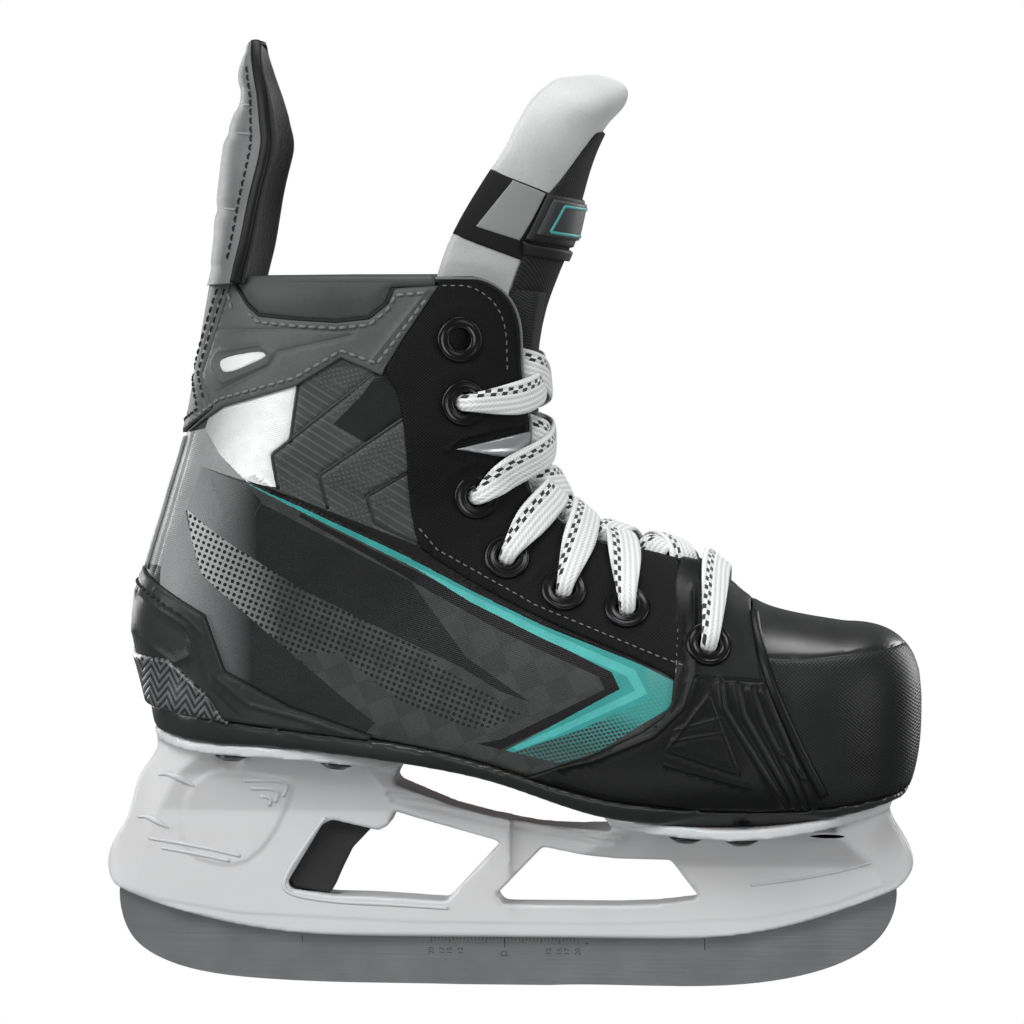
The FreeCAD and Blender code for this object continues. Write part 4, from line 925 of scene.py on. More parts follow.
# ---------------------------------------------------------------- the printed quarter
HEX_1 = [(-52.6, 166.7), (-55.1, 148.7)]
HEX_2 = [(-31.3, 167.5), (-60.2, 145.3), (-58.3, 136.3)]
HEX_3 = [(-22.5, 156.1), (-47.2, 139.8), (-44.8, 131)]
HEX_4 = [(-21.1, 141.9), (-34.3, 134.3), (-32.1, 127.2), (-20.1, 121.7)]
HEX_AREA = [(-52.6, 168.6), (-25, 168.7), (-21.1, 160), (-20.1, 119), (-58.3, 136.3), (-60.2, 145.3),
            (-55.1, 148.7)]
# SHADE is a painted shadow at the upper corner of the upper hexagonal cell
SHADE = [(-31.3, 167.5), (-24.5, 166.8), (-21.1, 159), (-22.7, 155.6), (-34.4, 148.4), (-43.3, 153.5),
         (-35.4, 161.4)]
# silver print under a painted highlight
SILVER_PAINTED_HIGHLIGHT_AREA = [(-77.1, 160.7), (-52.6, 170.6), (-52.6, 165.7), (-55.1, 148.9), (-60.2, 145.3), (-58.3, 136.5),
              (-67, 138), (-75.3, 145.2), (-80.1, 151.8)]
BORDER = [(-67.3, 138.6), (-52.4, 133.4), (-21.5, 121.5), (1, 110.6), (16.9, 103.4), (45.3, 91.7),
          (45.3, 88.2),
          (16.9, 98.7), (-6.9, 109.2), (-25.5, 117.7), (-52.4, 130)]
TEAL_AREA = [(-67.3, 137.8), (-52.4, 131.5), (-25.5, 119.1), (-6.9, 109.5), (11.6, 100.8), (38.1, 90.5),
             (47.3, 86),
             (48.1, 80.2), (38.1, 74.1), (27.4, 67), (16.9, 63.4), (2.3, 66.7), (16.9, 74.9), (32.8, 83.9),
             (30.6, 88.4),
             (1, 103), (-17.5, 113.3), (-25.5, 117.1), (-52.4, 130.3)]
TEAL_TIP = [(39.8, 89.6), (47.3, 86), (48.1, 80.2), (38.1, 74.1), (27.4, 67), (16.9, 63.4), (4.3, 66.2),
            (22.5, 72.9), (41.7, 81.8), (39.4, 86.8)]
TEAL_LINE = [(-25.5, 117.6), (-6.9, 108.5), (11.6, 99.8), (36.7, 89.1), (40.2, 82.7), (16, 71.2),
             (5.3, 66.7), (4.3, 67.7),
             (14.1, 72.2), (36.9, 83.5), (34.5, 87.4), (11.6, 97.4), (-6.9, 106.5)]
CHEVRON_INSIDE = [(-52.4, 129.8), (-25.5, 116.4), (-17.5, 112.6), (1, 103), (30.6, 88.4), (32.8, 83.9),
                  (16.9, 74.9), (1, 66.9),
                  (-5.5, 68.4), (1, 69.6), (28.8, 83.8), (27.2, 87.1), (1, 98.9), (-17.5, 109),
                  (-30.9, 116.6), (-52.4, 128.7)]
BAND = [(-62.8, 132.3), (-46.9, 124.2), (-22.7, 111.6), (-8.2, 91.9), (9, 80), (1, 82.8), (-9.6, 89.1),
        (-25.5, 96.5), (-52.4, 109.5), (-69.8, 120.3)]
BAND_GREY = [(-85, 130), (-80.6, 141.7), (-67.3, 137.4), (-62.8, 132.9), (-69.8, 120.3), (-71.3, 121.3)]
DOTS = [(-79.1, 123.5), (-68.6, 118), (-49.9, 107), (-28.9, 95.3), (-14.8, 88.9), (1, 80), (7.6, 77.3),
        (-1.7, 73),
        (-6.9, 72.5), (-17.5, 76.7), (-25.5, 79.2), (-42.3, 92.4), (-62.7, 102.7), (-72.6, 112),
        (-77.9, 116.8)]
# a painted highlight: the pale wedge of the halftone print toward the heel
PAINTED_HIGHLIGHT_WEDGE = [(-84.5, 130), (-71.3, 121.3), (-52.4, 109.5), (-25.5, 96.5), (-14.2, 90.3), (-42.3, 92.4),
               (-55.1, 92.2),
               (-75.3, 109.3), (-79.8, 113.3), (-82.9, 122.6)]
LOW_DARK = [(-92.3, 114.6), (-85, 130), (-82.9, 122.6), (-79.8, 113.3), (-75.3, 109.3), (-55.1, 92.2),
            (-41.5, 80.5),
            (-32.9, 73.6), (-36.9, 69.1), (-70.8, 68.5), (-92.3, 101.9)]
BACK_GREY = [(-108, 152.9), (-84.5, 150.9), (-80.1, 151.8), (-75.3, 145.2), (-67.3, 138.2), (-80.6, 141.7),
             (-85, 130),
             (-92.3, 114.6), (-108, 114.6)]
PRINTS = [(BACK_GREY, "q_grey"), (SILVER_PAINTED_HIGHLIGHT_AREA, "q_silver"), (HEX_AREA, "q_hatch"), (SHADE, "q_dark"),
          (BAND_GREY, "q_gradient"), (BAND, "q_gradient"), (LOW_DARK, "q_low"), (PAINTED_HIGHLIGHT_WEDGE, "q_dots"),
          (DOTS, "q_dots"),
          (BORDER, "q_black"), (CHEVRON_INSIDE, "q_black"), (TEAL_AREA, "q_teal"),
          (TEAL_TIP, "q_texture"), (TEAL_LINE, "q_bright")]
QUARTER_OUTLINE = EYESTAY_FRONT + [(60, 96)] + sole_run(60, -104) + [(-125, 79), (-125, 191.2)]
GROOVES = [(path, 0.75, -0.75) for path in (HEX_1, HEX_2, HEX_3, HEX_4)]
GROOVES += [([(-67.3, 138.1), (-52.4, 132.4), (-25.5, 120), (-6.9, 110.4), (11.6, 101.7), (43.3, 89.1)], 0.6,
             -0.4)]
GROOVES += [([(-84, 151.3), (-89.4, 131.3), (-94.3, 113.6)], 0.6, -0.45)]
GROOVES += [([(-65.4, 140.1), (-56.8, 134.7)], 0.5, 0.5), ([(-78.1, 138.2), (-72.7, 129.3)], 0.4, -0.2)]


def quarter_shape(places, flat, loop):
    """The hexagonal cells stand a little proud, and each falls away to its lower edge."""
    lift = np.zeros(len(places))
    for cell, tilt in (([(-31.9, 166.8), (-23, 158), (-47, 140.9), (-58.8, 145.1)], 0.35),
                       ([(-22, 154.6), (-21.1, 142.4), (-34.4, 135.5), (-46, 140.1)], 0.35),
                       ([(-59.2, 144.1), (-48.2, 139.3), (-45.8, 131.9), (-57.6, 136.7)], -0.25),
                       ([(-46, 138.7), (-35.3, 133.7), (-33.1, 127.7), (-43.8, 131.7)], -0.25)):
        lift[inside(np.array(cell, float), places)] += tilt
    return lift


order = ["q_carbon"] + sorted({name for area, name in PRINTS})
regions = [(area, order.index(name)) for area, name in PRINTS]
for side, word in SIDE_WORDS:
    piece = panel("quarter_print_" + word, QUARTER_OUTLINE, [MAT[k] for k in order], QUARTER_FACE, FOAM_FACE,
                  1.5, (side,), regions, GROOVES, quarter_shape, 0.3)
    settle(piece, stands_for=["quarter_" + word, "facing_" + word])

settle(strips("quarter_cell_lines", [HEX_1, HEX_2, HEX_3, HEX_4], MAT["q_groove"], 0.5, 0.22,
              QUARTER_FACE - 0.42, power=3))

# ---------------------------------------------------------------- overlays
toe_line = rounded(TOE_EDGE, 2)
TOE_SEAM = [(66, 92), (79.9, 91.2), (93.5, 92.4), (107, 94), (114, 95)]
toe_outline = [tuple(p) for p in toe_line if p[1] > float(sole_height(p[0]))] + sole_run(85,
                                                                                         116) + [(125, 57),
                                                                                                 (125, 125),
                                                                                                 (66, 125)]
cap_lower_area = [(60, 92)] + TOE_SEAM[1:] + [(125, 96), (125, 40), (60, 40)]


def cap_shape(places, flat, loop):
    """A soft hollow low on each side of the cap's front."""
    x, z = places.T
    return -0.5 * np.exp(-(((x - 97) / 9) ** 2 + ((z - 61) / 4.5) ** 2))


settle(panel("toe_cap_shell", toe_outline, [MAT["cap"], MAT["cap_low"]], 0.1, QUARTER_FACE, 1.7,
             regions=[(cap_lower_area, 1)],
             lines=[(TOE_SEAM, 0.6, -0.35)], shape=cap_shape, edge=0.4, corner=False),
       stands_for=["toe_cap"])

wrap_outline = ([tuple(p) for p in rounded(WRAP_REAR[1:5], 1)] + sole_run(8, 88)
                + [tuple(p - np.array([0.35, 0])) for p in toe_line[::-1] if p[1] > float(sole_height(p[0]))]
                + [(64, 125), (49, 125)])
wrap_outline = [(x, z) for x, z in wrap_outline if z > float(sole_height(x)) - 0.01]
WRAP_PATCH = [(53.6, 109.2), (65.3, 109.2), (67.2, 100.4), (69.7, 86.4), (52.7, 87.8)]
WRAP_RIBS = [[(67.8 + 3.4 * k, 83.8 - 1.2 * k), (71.3 + 4.3 * k, 74.8 - 1.5 * k), (79.5 + 2.5 * k, 58.4),
              (82.4 + 2.1 * k, 52)]
             for k in (-2.6, -1.4, -0.2, 0.8)]
WRAP_LINES = [([(52, 108.3), (52.5, 87.4), (49.8, 79), (41.9, 71.4), (25.8, 64.8), (14.1, 62.3)], 0.8, 0.7)]
WRAP_LINES += [(path, 1.0, 0.8) for path in WRAP_RIBS]
WRAP_LINES += [([(53.1, 87), (69.9, 85.6)], 0.7, -0.5), ([(51.9, 110.2), (53.1, 87)], 0.5, 0.35)]
WRAP_LINES += [([(56.4, 81.9), (45.3, 67.8), (64.2, 61.6), (56.4, 81.9)], 0.55, 0.4)]
WRAP_LINES += [([(45.3, 63.8), (66.7, 58.1)], 0.6, 0.4), ([(47.6, 73.1), (59.3, 76.1)], 0.5, 0.3),
               ([(46.6, 70.2), (60.5, 72.4)], 0.5, 0.3)]
WRAP_LINES += [([(75.1, 67.3), (77.9, 64.5), (81.4, 60.4)], 0.6, 0.5)]
settle(panel("forefoot_wrap_shell", wrap_outline, [MAT["wrap"], MAT["patch"]], 0.15, QUARTER_FACE, 1.6,
             regions=[(WRAP_PATCH, 1)], lines=WRAP_LINES, corner=False),
       stands_for=["forefoot_wrap_lateral", "forefoot_wrap_medial"])
rim_path = [(p[0] + 0.5, p[1]) for p in toe_line if float(sole_height(p[0])) + 0.6 < p[1] < 103]
settle(strips("forefoot_wrap_rim", [rim_path], MAT["wrap"], 1.4, 0.95, 0.0))

eyestay_outline = (EYESTAY_FRONT + [(50.8, 100), (50.2, 84.2)] + EYESTAY_LOWER[::-1][1:]
                   + [COLLAR_LOWER[1], COLLAR_LOWER[0]])
eyestay_outline = [(x, z) for x, z in eyestay_outline if x < 50.9]
RECESS = [(-13.3, 146.8), (-9.4, 149.8), (8.6, 153.7), (11.1, 151.2), (11.1, 142.4), (8.6, 141.2),
          (-7.4, 143.4)]


def eyestay_shape(places, flat, loop):
    recess = inside(rounded(RECESS, 2, True), places)
    low_edge = distance_to(np.array(EYESTAY_LOWER[1:], float), places)
    rings = np.zeros(len(places))
    for x, z in EYELETS:
        away = np.hypot(places[:, 0] - x, places[:, 1] - z)
        rings += 0.3 * np.exp(-((away - 8.6) / 1.1) ** 2)
    return -0.55 * recess - 0.35 * np.exp(-((low_edge - 2.2) / 0.8) ** 2) + rings


settle(panel("eyestay_nylon_panel", eyestay_outline, [MAT["eyestay"]], 0.1, QUARTER_FACE, 1.6,
             lines=[(RECESS + RECESS[:1], 0.8, 0.35)], shape=eyestay_shape),
       stands_for=["eyestay_lateral", "eyestay_medial"])
settle(panel("eyestay_wedge", EYESTAY_INSERT, [MAT["silver_insert"]], 0.35, -0.7, 0.9, corner=False,
             lines=[([(-13, 145.5), (5.8, 146)], 0.9, 0.4)], edge=0.3),
       stands_for=["eyestay_insert_lateral", "eyestay_insert_medial"])

COMFORT_LOW = [(-71.4, 191.5), (-66.9, 185), (-63.7, 182.3), (-53.4, 181.3), (-42.5, 180.7), (-33.8, 181.6),
               (-29, 185.6),
               (-27.5, 189.4), (-15.7, 190.4)]
collar_outline = ([(-71.6, 191.4)] + COMFORT_LOW[1:8] + [(-15.4, 190.2)] + COLLAR_LOWER[1:]
                  + [GUARD_STRAP[2], GUARD_STRAP[1]])
COLLAR_LINES = [([(-76.3, 178.3), (-53.1, 178.7), (-38.5, 178.2)], 0.5, -0.35),
                ([(-38.5, 177), (-58.5, 172.5), (-60.5, 168.7), (-75.8, 161.6)], 0.7, -0.5),
                ([(-76.9, 169.8), (-75.5, 172.4), (-63.1, 174.6), (-59.9, 172), (-61.5, 169.5),
                  (-73.8, 164.3), (-76.9, 167.9),
                  (-76.9, 169.8)], 0.7, 0.55),
                ([(-15.2, 189.2), (-30.5, 168.2)], 0.7, -0.45), ([(-18.5, 189.2), (-33.5, 169.9)], 0.6, 0.4)]
settle(panel("collar_leather_panel", collar_outline, [MAT["collar"]], 0.25, QUARTER_FACE, 1.5,
             lines=COLLAR_LINES,
             corner=False),
       stands_for=["collar_overlay_lateral", "collar_overlay_medial"])
settle(panel("collar_flash", COLLAR_INSERT, [MAT["pale_insert"]], 0.4, -0.7, 0.8, edge=0.3),
       stands_for=["collar_insert_lateral", "collar_insert_medial"])


def crowned(height, reach):
    def shape(places, flat, loop):
        away = distance_to(np.vstack([loop, loop[:1]]), flat)
        return height * (1 - np.exp(-(away / reach) ** 1.3))
    return shape


comfort_outline = COMFORT_LOW + [(-15.7, 192.4), (-71.4, 192.4)]
comfort = panel("collar_comfort_edge", comfort_outline, [MAT["comfort"]], -0.2, QUARTER_FACE - 1, 1.2,
                shape=crowned(1.5, 2.6), edge=0.6, corner=False)
settle(comfort)

heel_outline = HEEL_OVERLAY_TOP[1:] + sole_run(-34, -104) + [(-125, 79), (-125, 117)]
HEEL_LINES = [([(-90, 105.6), (-82.7, 101.6), (-78.4, 97), (-75.2, 86), (-66, 78.6), (-54, 75.6),
                (-38, 70.9)], 0.9, 0.5),
              ([(-84, 98.4), (-80, 93), (-77, 83), (-70, 76.2)], 0.8, -0.35),
              ([(-112, 98), (-99, 97), (-86.5, 89.6), (-81.6, 92), (-82.6, 99.2), (-90, 103.4),
                (-97.5, 107.6), (-112, 109)],
               0.8, 0.4)]
settle(panel("heel_rubber_panel", heel_outline, [MAT["rubber"]], 0.9, QUARTER_FACE, 1.5, lines=HEEL_LINES,
             corner=False),
       stands_for=["heel_overlay"])
support_outline = HEEL_SUPPORT_TOP[1:] + sole_run(-72, -104) + [(-125, 79), (-125, 92)]
settle(panel("heel_carbon_panel", support_outline, [MAT["carbon"]], 1.7, 0.0, 1.5, corner=False,
             lines=[([(-125, 91.4), (-88, 89.9), (-77.4, 80.8), (-73, 74)], 0.6, 0.25)]),
       stands_for=["heel_support"])
strip_outline = [(-86.6, 149.5), (-97, 113.2), (-125, 115), (-125, 149.5)]
settle(panel("back_strip_panel", strip_outline, [MAT["back"]], 0.0, QUARTER_FACE, 1.6, corner=False),
       stands_for=["back_strip"])
settle(panel("guard_strap_panel", GUARD_STRAP[:4] + [(-125, 147), (-125, 192.5)], [MAT["strap"]], 0.35,
             QUARTER_FACE, 1.5,
             corner=False, lines=[([(-74.4, 190), (-82.8, 166.4), (-79.6, 157.4)], 0.5, -0.3)]),
       stands_for=["guard_strap"])

# ---------------------------------------------------------------- stitching and edges
COLLAR_SEAM = [(x, z - 1.8) for x, z in COMFORT_LOW[1:7]] + [(-27, 187.6), (-17.5, 188.4)]
LOWER_SEAM = [(-31.4, 169.5), (-41.2, 173), (-53.6, 165.7), (-74.7, 159.8), (-84.1, 153)]
settle(stitches("collar_stitching", [COLLAR_SEAM, [(-18.6, 187), (-32.6, 168.2)], LOWER_SEAM,
                                     [(-72.6, 188.6), (-71.2, 183.4)]],
                MAT["thread_grey"], lift=0.35, thick=0.5))
settle(strips("collar_seam_cord", [[(x, z + 0.1) for x, z in COMFORT_LOW[:8]]], MAT["thread"], 0.5, 0.35,
              0.2))
settle(stitches("strap_stitching", [[(-75.8, 190), (-84.4, 166.2), (-81.4, 157), (-90, 151.4)],
                                    [(-73.4, 190), (-81.8, 166.6), (-78.8, 158)]],
                MAT["thread"], lift=0.45))
settle(stitches("heel_stitching", [[(-100, 111), (-92.1, 106.8), (-82.7, 101.6)]], MAT["thread"], lift=1.05,
                thick=0.42))
settle(stitches("eyestay_stitching", [[(x - 3.1, z - 1.0) for x, z in EYESTAY_FRONT[2:26]],
                                      [(48, 100), (47.6, 86.6)],
                               [(x + 1.2, z + 2.2) for x, z in EYESTAY_LOWER[2:]]],
                MAT["thread_grey"], lift=0.12, pitch=2.2, length=1.3, thick=0.2))


def rim_directions(flat, side):
    """Points, outward directions and, in the surface, directions away from the boot along its opening."""
    u, w = flat.T
    out = normals(u, w, side)
    points = surface(u, w, side, SURFACE)
    tangent = np.gradient(points, axis=0)
    away = unit(np.cross(tangent, out))
    hint = surface(u + 0.5, np.minimum(w + 0.5, np.interp(u, U_ROWS, HALF_GIRTH)), side, SURFACE) - points
    away *= np.sign(np.sum(away * hint, axis=1, keepdims=True))
    return points, out, away


at_front = OPENING_SIDE[:, 0] > CORNER_X - 1
front_rim = OPENING[at_front]
binding, piping = [], []
for side in BOTH:
    points, out, away = rim_directions(front_rim, side)
    binding.append(sweep(points + out * -3.55 + away * 0.2, away, 3.75, 1.3, 16, 2.4))
    points, out, away = rim_directions(front_rim[14:], side)
    piping.append(sweep(points + out * 0.3 + away * 0.9, out, 0.32, 0.32, 8))
settle(joined("eyestay_binding", binding, MAT["edging"]))
settle(joined("eyestay_piping", piping, MAT["thread_grey"]))
rear_flat = OPENING[np.argmax(~at_front) - 1:]
ring = []
for side in BOTH:
    points, out, away = rim_directions(rear_flat, side)
    ring.append((points + out * -3.7, away) if side == LATERAL else ((points + out * -3.7)[::-1][1:],
                                                                     away[::-1][1:]))
verts, faces, uvs = sweep(np.vstack([r[0] for r in ring]), np.vstack([r[1] for r in ring]), 4.0, 2.0, 18, 2.2)
roll = make("collar_roll", verts, faces, [MAT["comfort"]], uvs=uvs)
settle(roll, stands_for=["foam_lateral", "foam_medial"])

LINING_OUTLINE = EYESTAY_FRONT + [(62.6, 125), (125, 125)] + sole_run(116, -104) + [(-125, 79), (-125, 191.2)]
settle(panel("lining_cloth", LINING_OUTLINE, [MAT["lining"]], LINING_FACE, CAVITY_FACE, 3.2, edge=0.4),
       stands_for=["lining"])

# ---------------------------------------------------------------- eyelets
EYELET_PROFILE = [(2.9, -4.2), (2.9, 0.55), (3.15, 1.0), (3.6, 1.05), (4.0, 0.8), (4.5, 0.72), (5.0, 0.95),
                  (5.5, 1.1),
                  (5.95, 0.9), (6.15, 0.4), (6.15, -0.1), (3.5, -0.1), (3.5, -4.2)]
EYELET_SIDES = 44


def eyelet_frames(side):
    flat = to_flat(EYELETS)
    return surface(flat[:, 0], flat[:, 1], side, SURFACE), normals(flat[:, 0], flat[:, 1], side)


for side, word in SIDE_WORDS:
    parts = []
    for centre, normal in zip(*eyelet_frames(side)):
        across = np.cross(normal, [0, 0, 1.0])
        across /= np.linalg.norm(across)
        up = np.cross(across, normal)
        turn = 2 * math.pi * np.arange(EYELET_SIDES) / EYELET_SIDES
        spokes = across * np.cos(turn)[:, None] + up * np.sin(turn)[:, None]
        verts = np.vstack([centre + spokes * r + normal * h for r, h in EYELET_PROFILE])
        parts.append((verts, tube_faces(len(EYELET_PROFILE), EYELET_SIDES, True), verts[:, [0, 2]]))
    settle(joined("eyelet_rings_" + word, parts, MAT["eyelet"], merge=0.001),
           stands_for=["eyelets_" + word])


def pierce(names, radius):
    """Opens the panels where the eyelets pass through."""
    for name in names:
        work = bmesh.new()
        work.from_mesh(bpy.data.objects[name].data)
        places = np.array([f.calc_center_median() for f in work.faces]) / MM
        hit = np.zeros(len(places), bool)
        for side in BOTH:
            for centre, normal in zip(*eyelet_frames(side)):
                away = places - centre
                along = away @ normal
                hit |= (np.linalg.norm(away - along[:, None] * normal,
                                       axis=1) < radius) & (np.abs(along) < 14)
        doomed = [f for f, gone in zip(work.faces, hit) if gone]
        bmesh.ops.delete(work, geom=doomed, context="FACES")
        work.to_mesh(bpy.data.objects[name].data)
        work.free()


pierce(["eyestay_nylon_panel", "quarter_print_lateral", "quarter_print_medial", "forefoot_wrap_shell"], 3.4)
pierce(["lining_cloth"], 6.0)


# ---------------------------------------------------------------- laces
def hermite(rows, per_span):
    """A smooth path through rows of numbers."""
    rows = np.asarray(rows, float)
    gap = np.maximum(np.linalg.norm(np.diff(rows[:, :3], axis=0), axis=1), 1e-6) ** 0.5
    at = np.concatenate([[0], np.cumsum(gap)])
    slope = np.zeros_like(rows)
    slope[1:-1] = ((rows[1:-1] - rows[:-2]) / gap[:-1, None] * gap[1:, None]
                   + (rows[2:] - rows[1:-1]) / gap[1:, None] * gap[:-1, None]) / (gap[:-1] + gap[1:])[:, None]
    slope[0], slope[-1] = (rows[1] - rows[0]) / gap[0], (rows[-1] - rows[-2]) / gap[-1]
    out = []
    for i in range(len(rows) - 1):
        for t in np.arange(per_span) / per_span:
            out.append((2 * t**3 - 3 * t**2 + 1) * rows[i] + (t**3 - 2 * t**2 + t) * gap[i] * slope[i]
                       + (3 * t**2 - 2 * t**3) * rows[i + 1] + (t**3 - t**2) * gap[i] * slope[i + 1])
    return np.array(out + [rows[-1]])


LACE_HALF_WIDTH, LACE_HALF_THICK = 4.45, 0.85
HOLE_HALF_WIDTH, HOLE_HALF_THICK = 2.3, 1.5


def instep_normal(q, across):
    step = 0.5
    one = instep_point(q + step, across, 0.0) - instep_point(q - step, across, 0.0)
    other = instep_point(q, across + step, 0.0) - instep_point(q, across - step, 0.0)
    out = np.cross(one, other)
    out /= np.linalg.norm(out)
    tilt = math.radians(min(max(q, 0), 90))
    return out if out @ np.array([math.sin(tilt), 0, math.cos(tilt)]) > 0 else -out


def lace_run(side, over):
    """Rows of place, upward direction, half width and half thickness along one half of the lace."""
    stations = [float(station_of(x, z)) for x, z in EYELETS]
    frames = {s: eyelet_frames(s) for s in BOTH}
    last = len(EYELETS) - 1
    full, bunched = (LACE_HALF_WIDTH, LACE_HALF_THICK), (HOLE_HALF_WIDTH, HOLE_HALF_THICK)

    def above(q, across, height, size=full):
        return (instep_point(q, across, 0.0) + instep_normal(q, across) * height, instep_normal(q, across),
                size)

    def hole(index, side, height, lean, size=bunched):
        centre, normal = frames[side][0][index], frames[side][1][index]
        to_throat = instep_point(stations[index] + lean, 0.0, 0.0) - centre
        to_throat -= normal * (to_throat @ normal)
        to_throat /= np.linalg.norm(to_throat)
        return centre + normal * height + to_throat * 0.8, to_throat, size

    rows = [above(stations[last], 0.0, 2.6)]
    rows.append(above(stations[last], side * 11.0, 2.4))
    rows += [hole(last, side, 1.6, 0), hole(last, side, -7.5, 0)]
    for index in range(last - 1, 0, -1):
        here, there = stations[index + 1], stations[index]
        span = there - here
        gap = float(keyed(THROAT, (here + there) / 2))
        if index == last - 1:
            rows.append(above(here + span * 0.2, side * (gap + 1.5), -7.5))
            rows.append(above(here + span * 0.35, side * (gap - 5), 0.4))
        else:
            rows.append(above(here + span * 0.16, side * (gap + 3.5), 1.7))
            rows.append(above(here + span * 0.32, side * (gap - 4.0), 2.0 + over * 0.4))
        rows.append(above(here + span * 0.5, 0.0, 1.4 + over))
        side = -side
        rows.append(above(here + span * 0.68, side * (gap - 5.5), 0.6 + over * 0.5))
        rows.append(above(here + span * 0.84, side * (gap + 1.6), -7.5))
        rows += [hole(index, side, -7.5, 0), hole(index, side, 1.6, 2)]
    end = stations[1]
    gap = float(keyed(THROAT, end + 6))
    rows.append(above(end + 1.0, side * (gap + 3.0), 1.8))
    rows.append(above(end + 3.0, side * (gap - 5.0), 2.0 + over * 0.4))
    rows.append(above(end + 6.0, 0.0, 1.4 + over))
    rows.append(above(end + 9.0, -side * (gap - 5.5), 0.6 + over * 0.5))
    rows.append(above(end + 11.5, -side * (gap + 2.4), -8.3))
    return rows


def ribbon(rows):
    """Turns rows into a strip whose flat side never flips."""
    places = np.array([r[0] for r in rows], float)
    tangents = np.gradient(places, axis=0)
    tangents /= np.linalg.norm(tangents, axis=1, keepdims=True)
    up = rows[0][1]
    ups = []
    for i, (place, wanted, size) in enumerate(rows):
        if i:
            up = np.array(Vector(tangents[i - 1]).rotation_difference(Vector(tangents[i])) @ Vector(up))
        wanted = wanted - tangents[i] * (wanted @ tangents[i])
        wanted = wanted / max(np.linalg.norm(wanted), 1e-6)
        up = wanted if wanted @ up >= 0 else -wanted
        ups.append(up)
    table = np.array([[*p, *u, *r[2]] for p, u, r in zip(places, ups, rows)])
    dense = hermite(table, 12)
    return dense[:, :3], dense[:, 3:6], dense[:, 6], dense[:, 7]


one, other = lace_run(LATERAL, 1.1), lace_run(MEDIAL, 0.0)
settle(joined("lace_band", [sweep(*ribbon(one[::-1] + other[1:]), 28, 2.6)], MAT["lace"]),
       stands_for=["lace"])


# ---------------------------------------------------------------- tongue and tendon guard
WRAP_ANGLE = math.radians(72)
TONGUE_SECTIONS = [((9.0, 175.5), (-12.6, 180), 19), ((11.2, 184.8), (-11.8, 189), 20.5),
                   ((14.2, 193), (-9, 198), 23.5), ((18.0, 202.5), (-4.4, 207), 27),
                   ((20.6, 213.3), (1.4, 216.5), 28.5), ((23.8, 224.1), (7, 225.5), 27.5),
                   ((27.8, 232.5), (10.4, 233), 24), ((33.0, 238.4), (13.8, 239.2), 18.5),
                   ((33.9, 243), (17.6, 243.4), 12), ((29.8, 246.4), (22, 246.8), 6)]
GUARD_SECTIONS = [((-82, 186), (-73, 186.6), 25.4), ((-79.6, 194), (-71.2, 194.6), 26),
                  ((-78.4, 202), (-69.4, 202), 25.5), ((-77.1, 213.3), (-67.2, 213.3), 23.5),
                  ((-75.4, 227.4), (-64.4, 226.8), 20), ((-73.4, 234), (-65.1, 234), 17.7),
                  ((-71.6, 240.4), (-66.1, 240.4), 15.5), ((-71.8, 247), (-67.5, 246.8), 12.5),
                  ((-70.4, 252), (-68.6, 251.8), 9.5), ((-69.8, 256.2), (-69, 256), 6)]


class Bent:
    """A pad bent round the shin, from cross-sections: (middle of the outer face, side edge, half width)."""

    def __init__(self, sections):
        rows = np.array([[*a, *b, w] for a, b, w in sections], float)
        self.count = len(rows)
        at = np.arange(self.count, dtype=float)
        self.keys = [list(zip(at, column)) for column in rows.T]

    def point(self, t, across, depth):
        t, across, depth = np.broadcast_arrays(np.asarray(t, float), across, depth)
        fx, fz, ex, ez, half = (self.smooth(k, t) for k in self.keys)
        wrap = np.arcsin(np.clip(across, -1, 1) * math.sin(WRAP_ANGLE))
        back = (1 - np.cos(wrap)) / (1 - math.cos(WRAP_ANGLE))
        rx, rz = ex - fx, ez - fz
        length = np.hypot(rx, rz)
        return np.stack([fx + rx * back + rx / length * depth, half * across, fz + rz * back
                         + rz / length * depth], -1)

    def smooth(self, keys, t):
        ys = np.array([y for x, y in keys])
        ys = np.concatenate([[2 * ys[0] - ys[1]], ys, [2 * ys[-1] - ys[-2]]])
        i = np.clip(np.floor(t).astype(int), 0, self.count - 2)
        f = t - i
        a, b, c, d = ys[i], ys[i + 1], ys[i + 2], ys[i + 3]
        return 0.5 * (2 * b + (c - a) * f + (2 * a - 5 * b + 4 * c - d) * f**2
                      + (3 * b - a - 3 * c + d) * f**3)

    def pad(self, t0, t1, start, thickness, share=1.0, rows=90, ring=56, swell=None, tip=0.0):
        """A closed pad, whose share and thickness may be functions of t. swell adds to the depth."""
        ts = np.linspace(t0, t1, rows)
        verts = []
        for t in ts:
            close = 1.0
            if tip and t > t1 - tip:
                close = math.sqrt(max(0.0, 1 - ((t - t1 + tip) / tip) ** 2))
            thick = thickness(t) if callable(thickness) else thickness
            part = (share(t) if callable(share) else share) * (0.25 + 0.75 * close)
            half = thick / 2 * max(close, 0.05)
            middle = start + thick / 2
            angle = 2 * math.pi * (np.arange(ring) + 0.5) / ring
            across = np.sin(angle) * part
            depth = middle - half * np.sign(np.cos(angle)) * np.abs(np.cos(angle)) ** 0.45
            if swell is not None:
                depth = depth + swell(t, across, np.cos(angle))
            verts.append(self.point(t, across, depth))
        faces = tube_faces(rows, ring)
        faces += [tuple(range(ring))[::-1], tuple(range((rows - 1) * ring, rows * ring))]
        verts = np.vstack(verts)
        return verts, faces, np.stack([verts[:, 1], verts[:, 2]], -1)


def upright(name, bent, material, *numbers, **settings):
    return joined(name, [bent.pad(*numbers, **settings)], material, outward=True)


tongue = Bent(TONGUE_SECTIONS)
guard = Bent(GUARD_SECTIONS)


def hung(piece, stands_for=()):
    if stands_for:
        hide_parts(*stands_for)
    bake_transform(piece)
    return piece


def felt_swell(t, across, front):
    return -0.5 * np.sin(np.pi * np.clip((t - 3) / 6.0, 0, 1)) * front


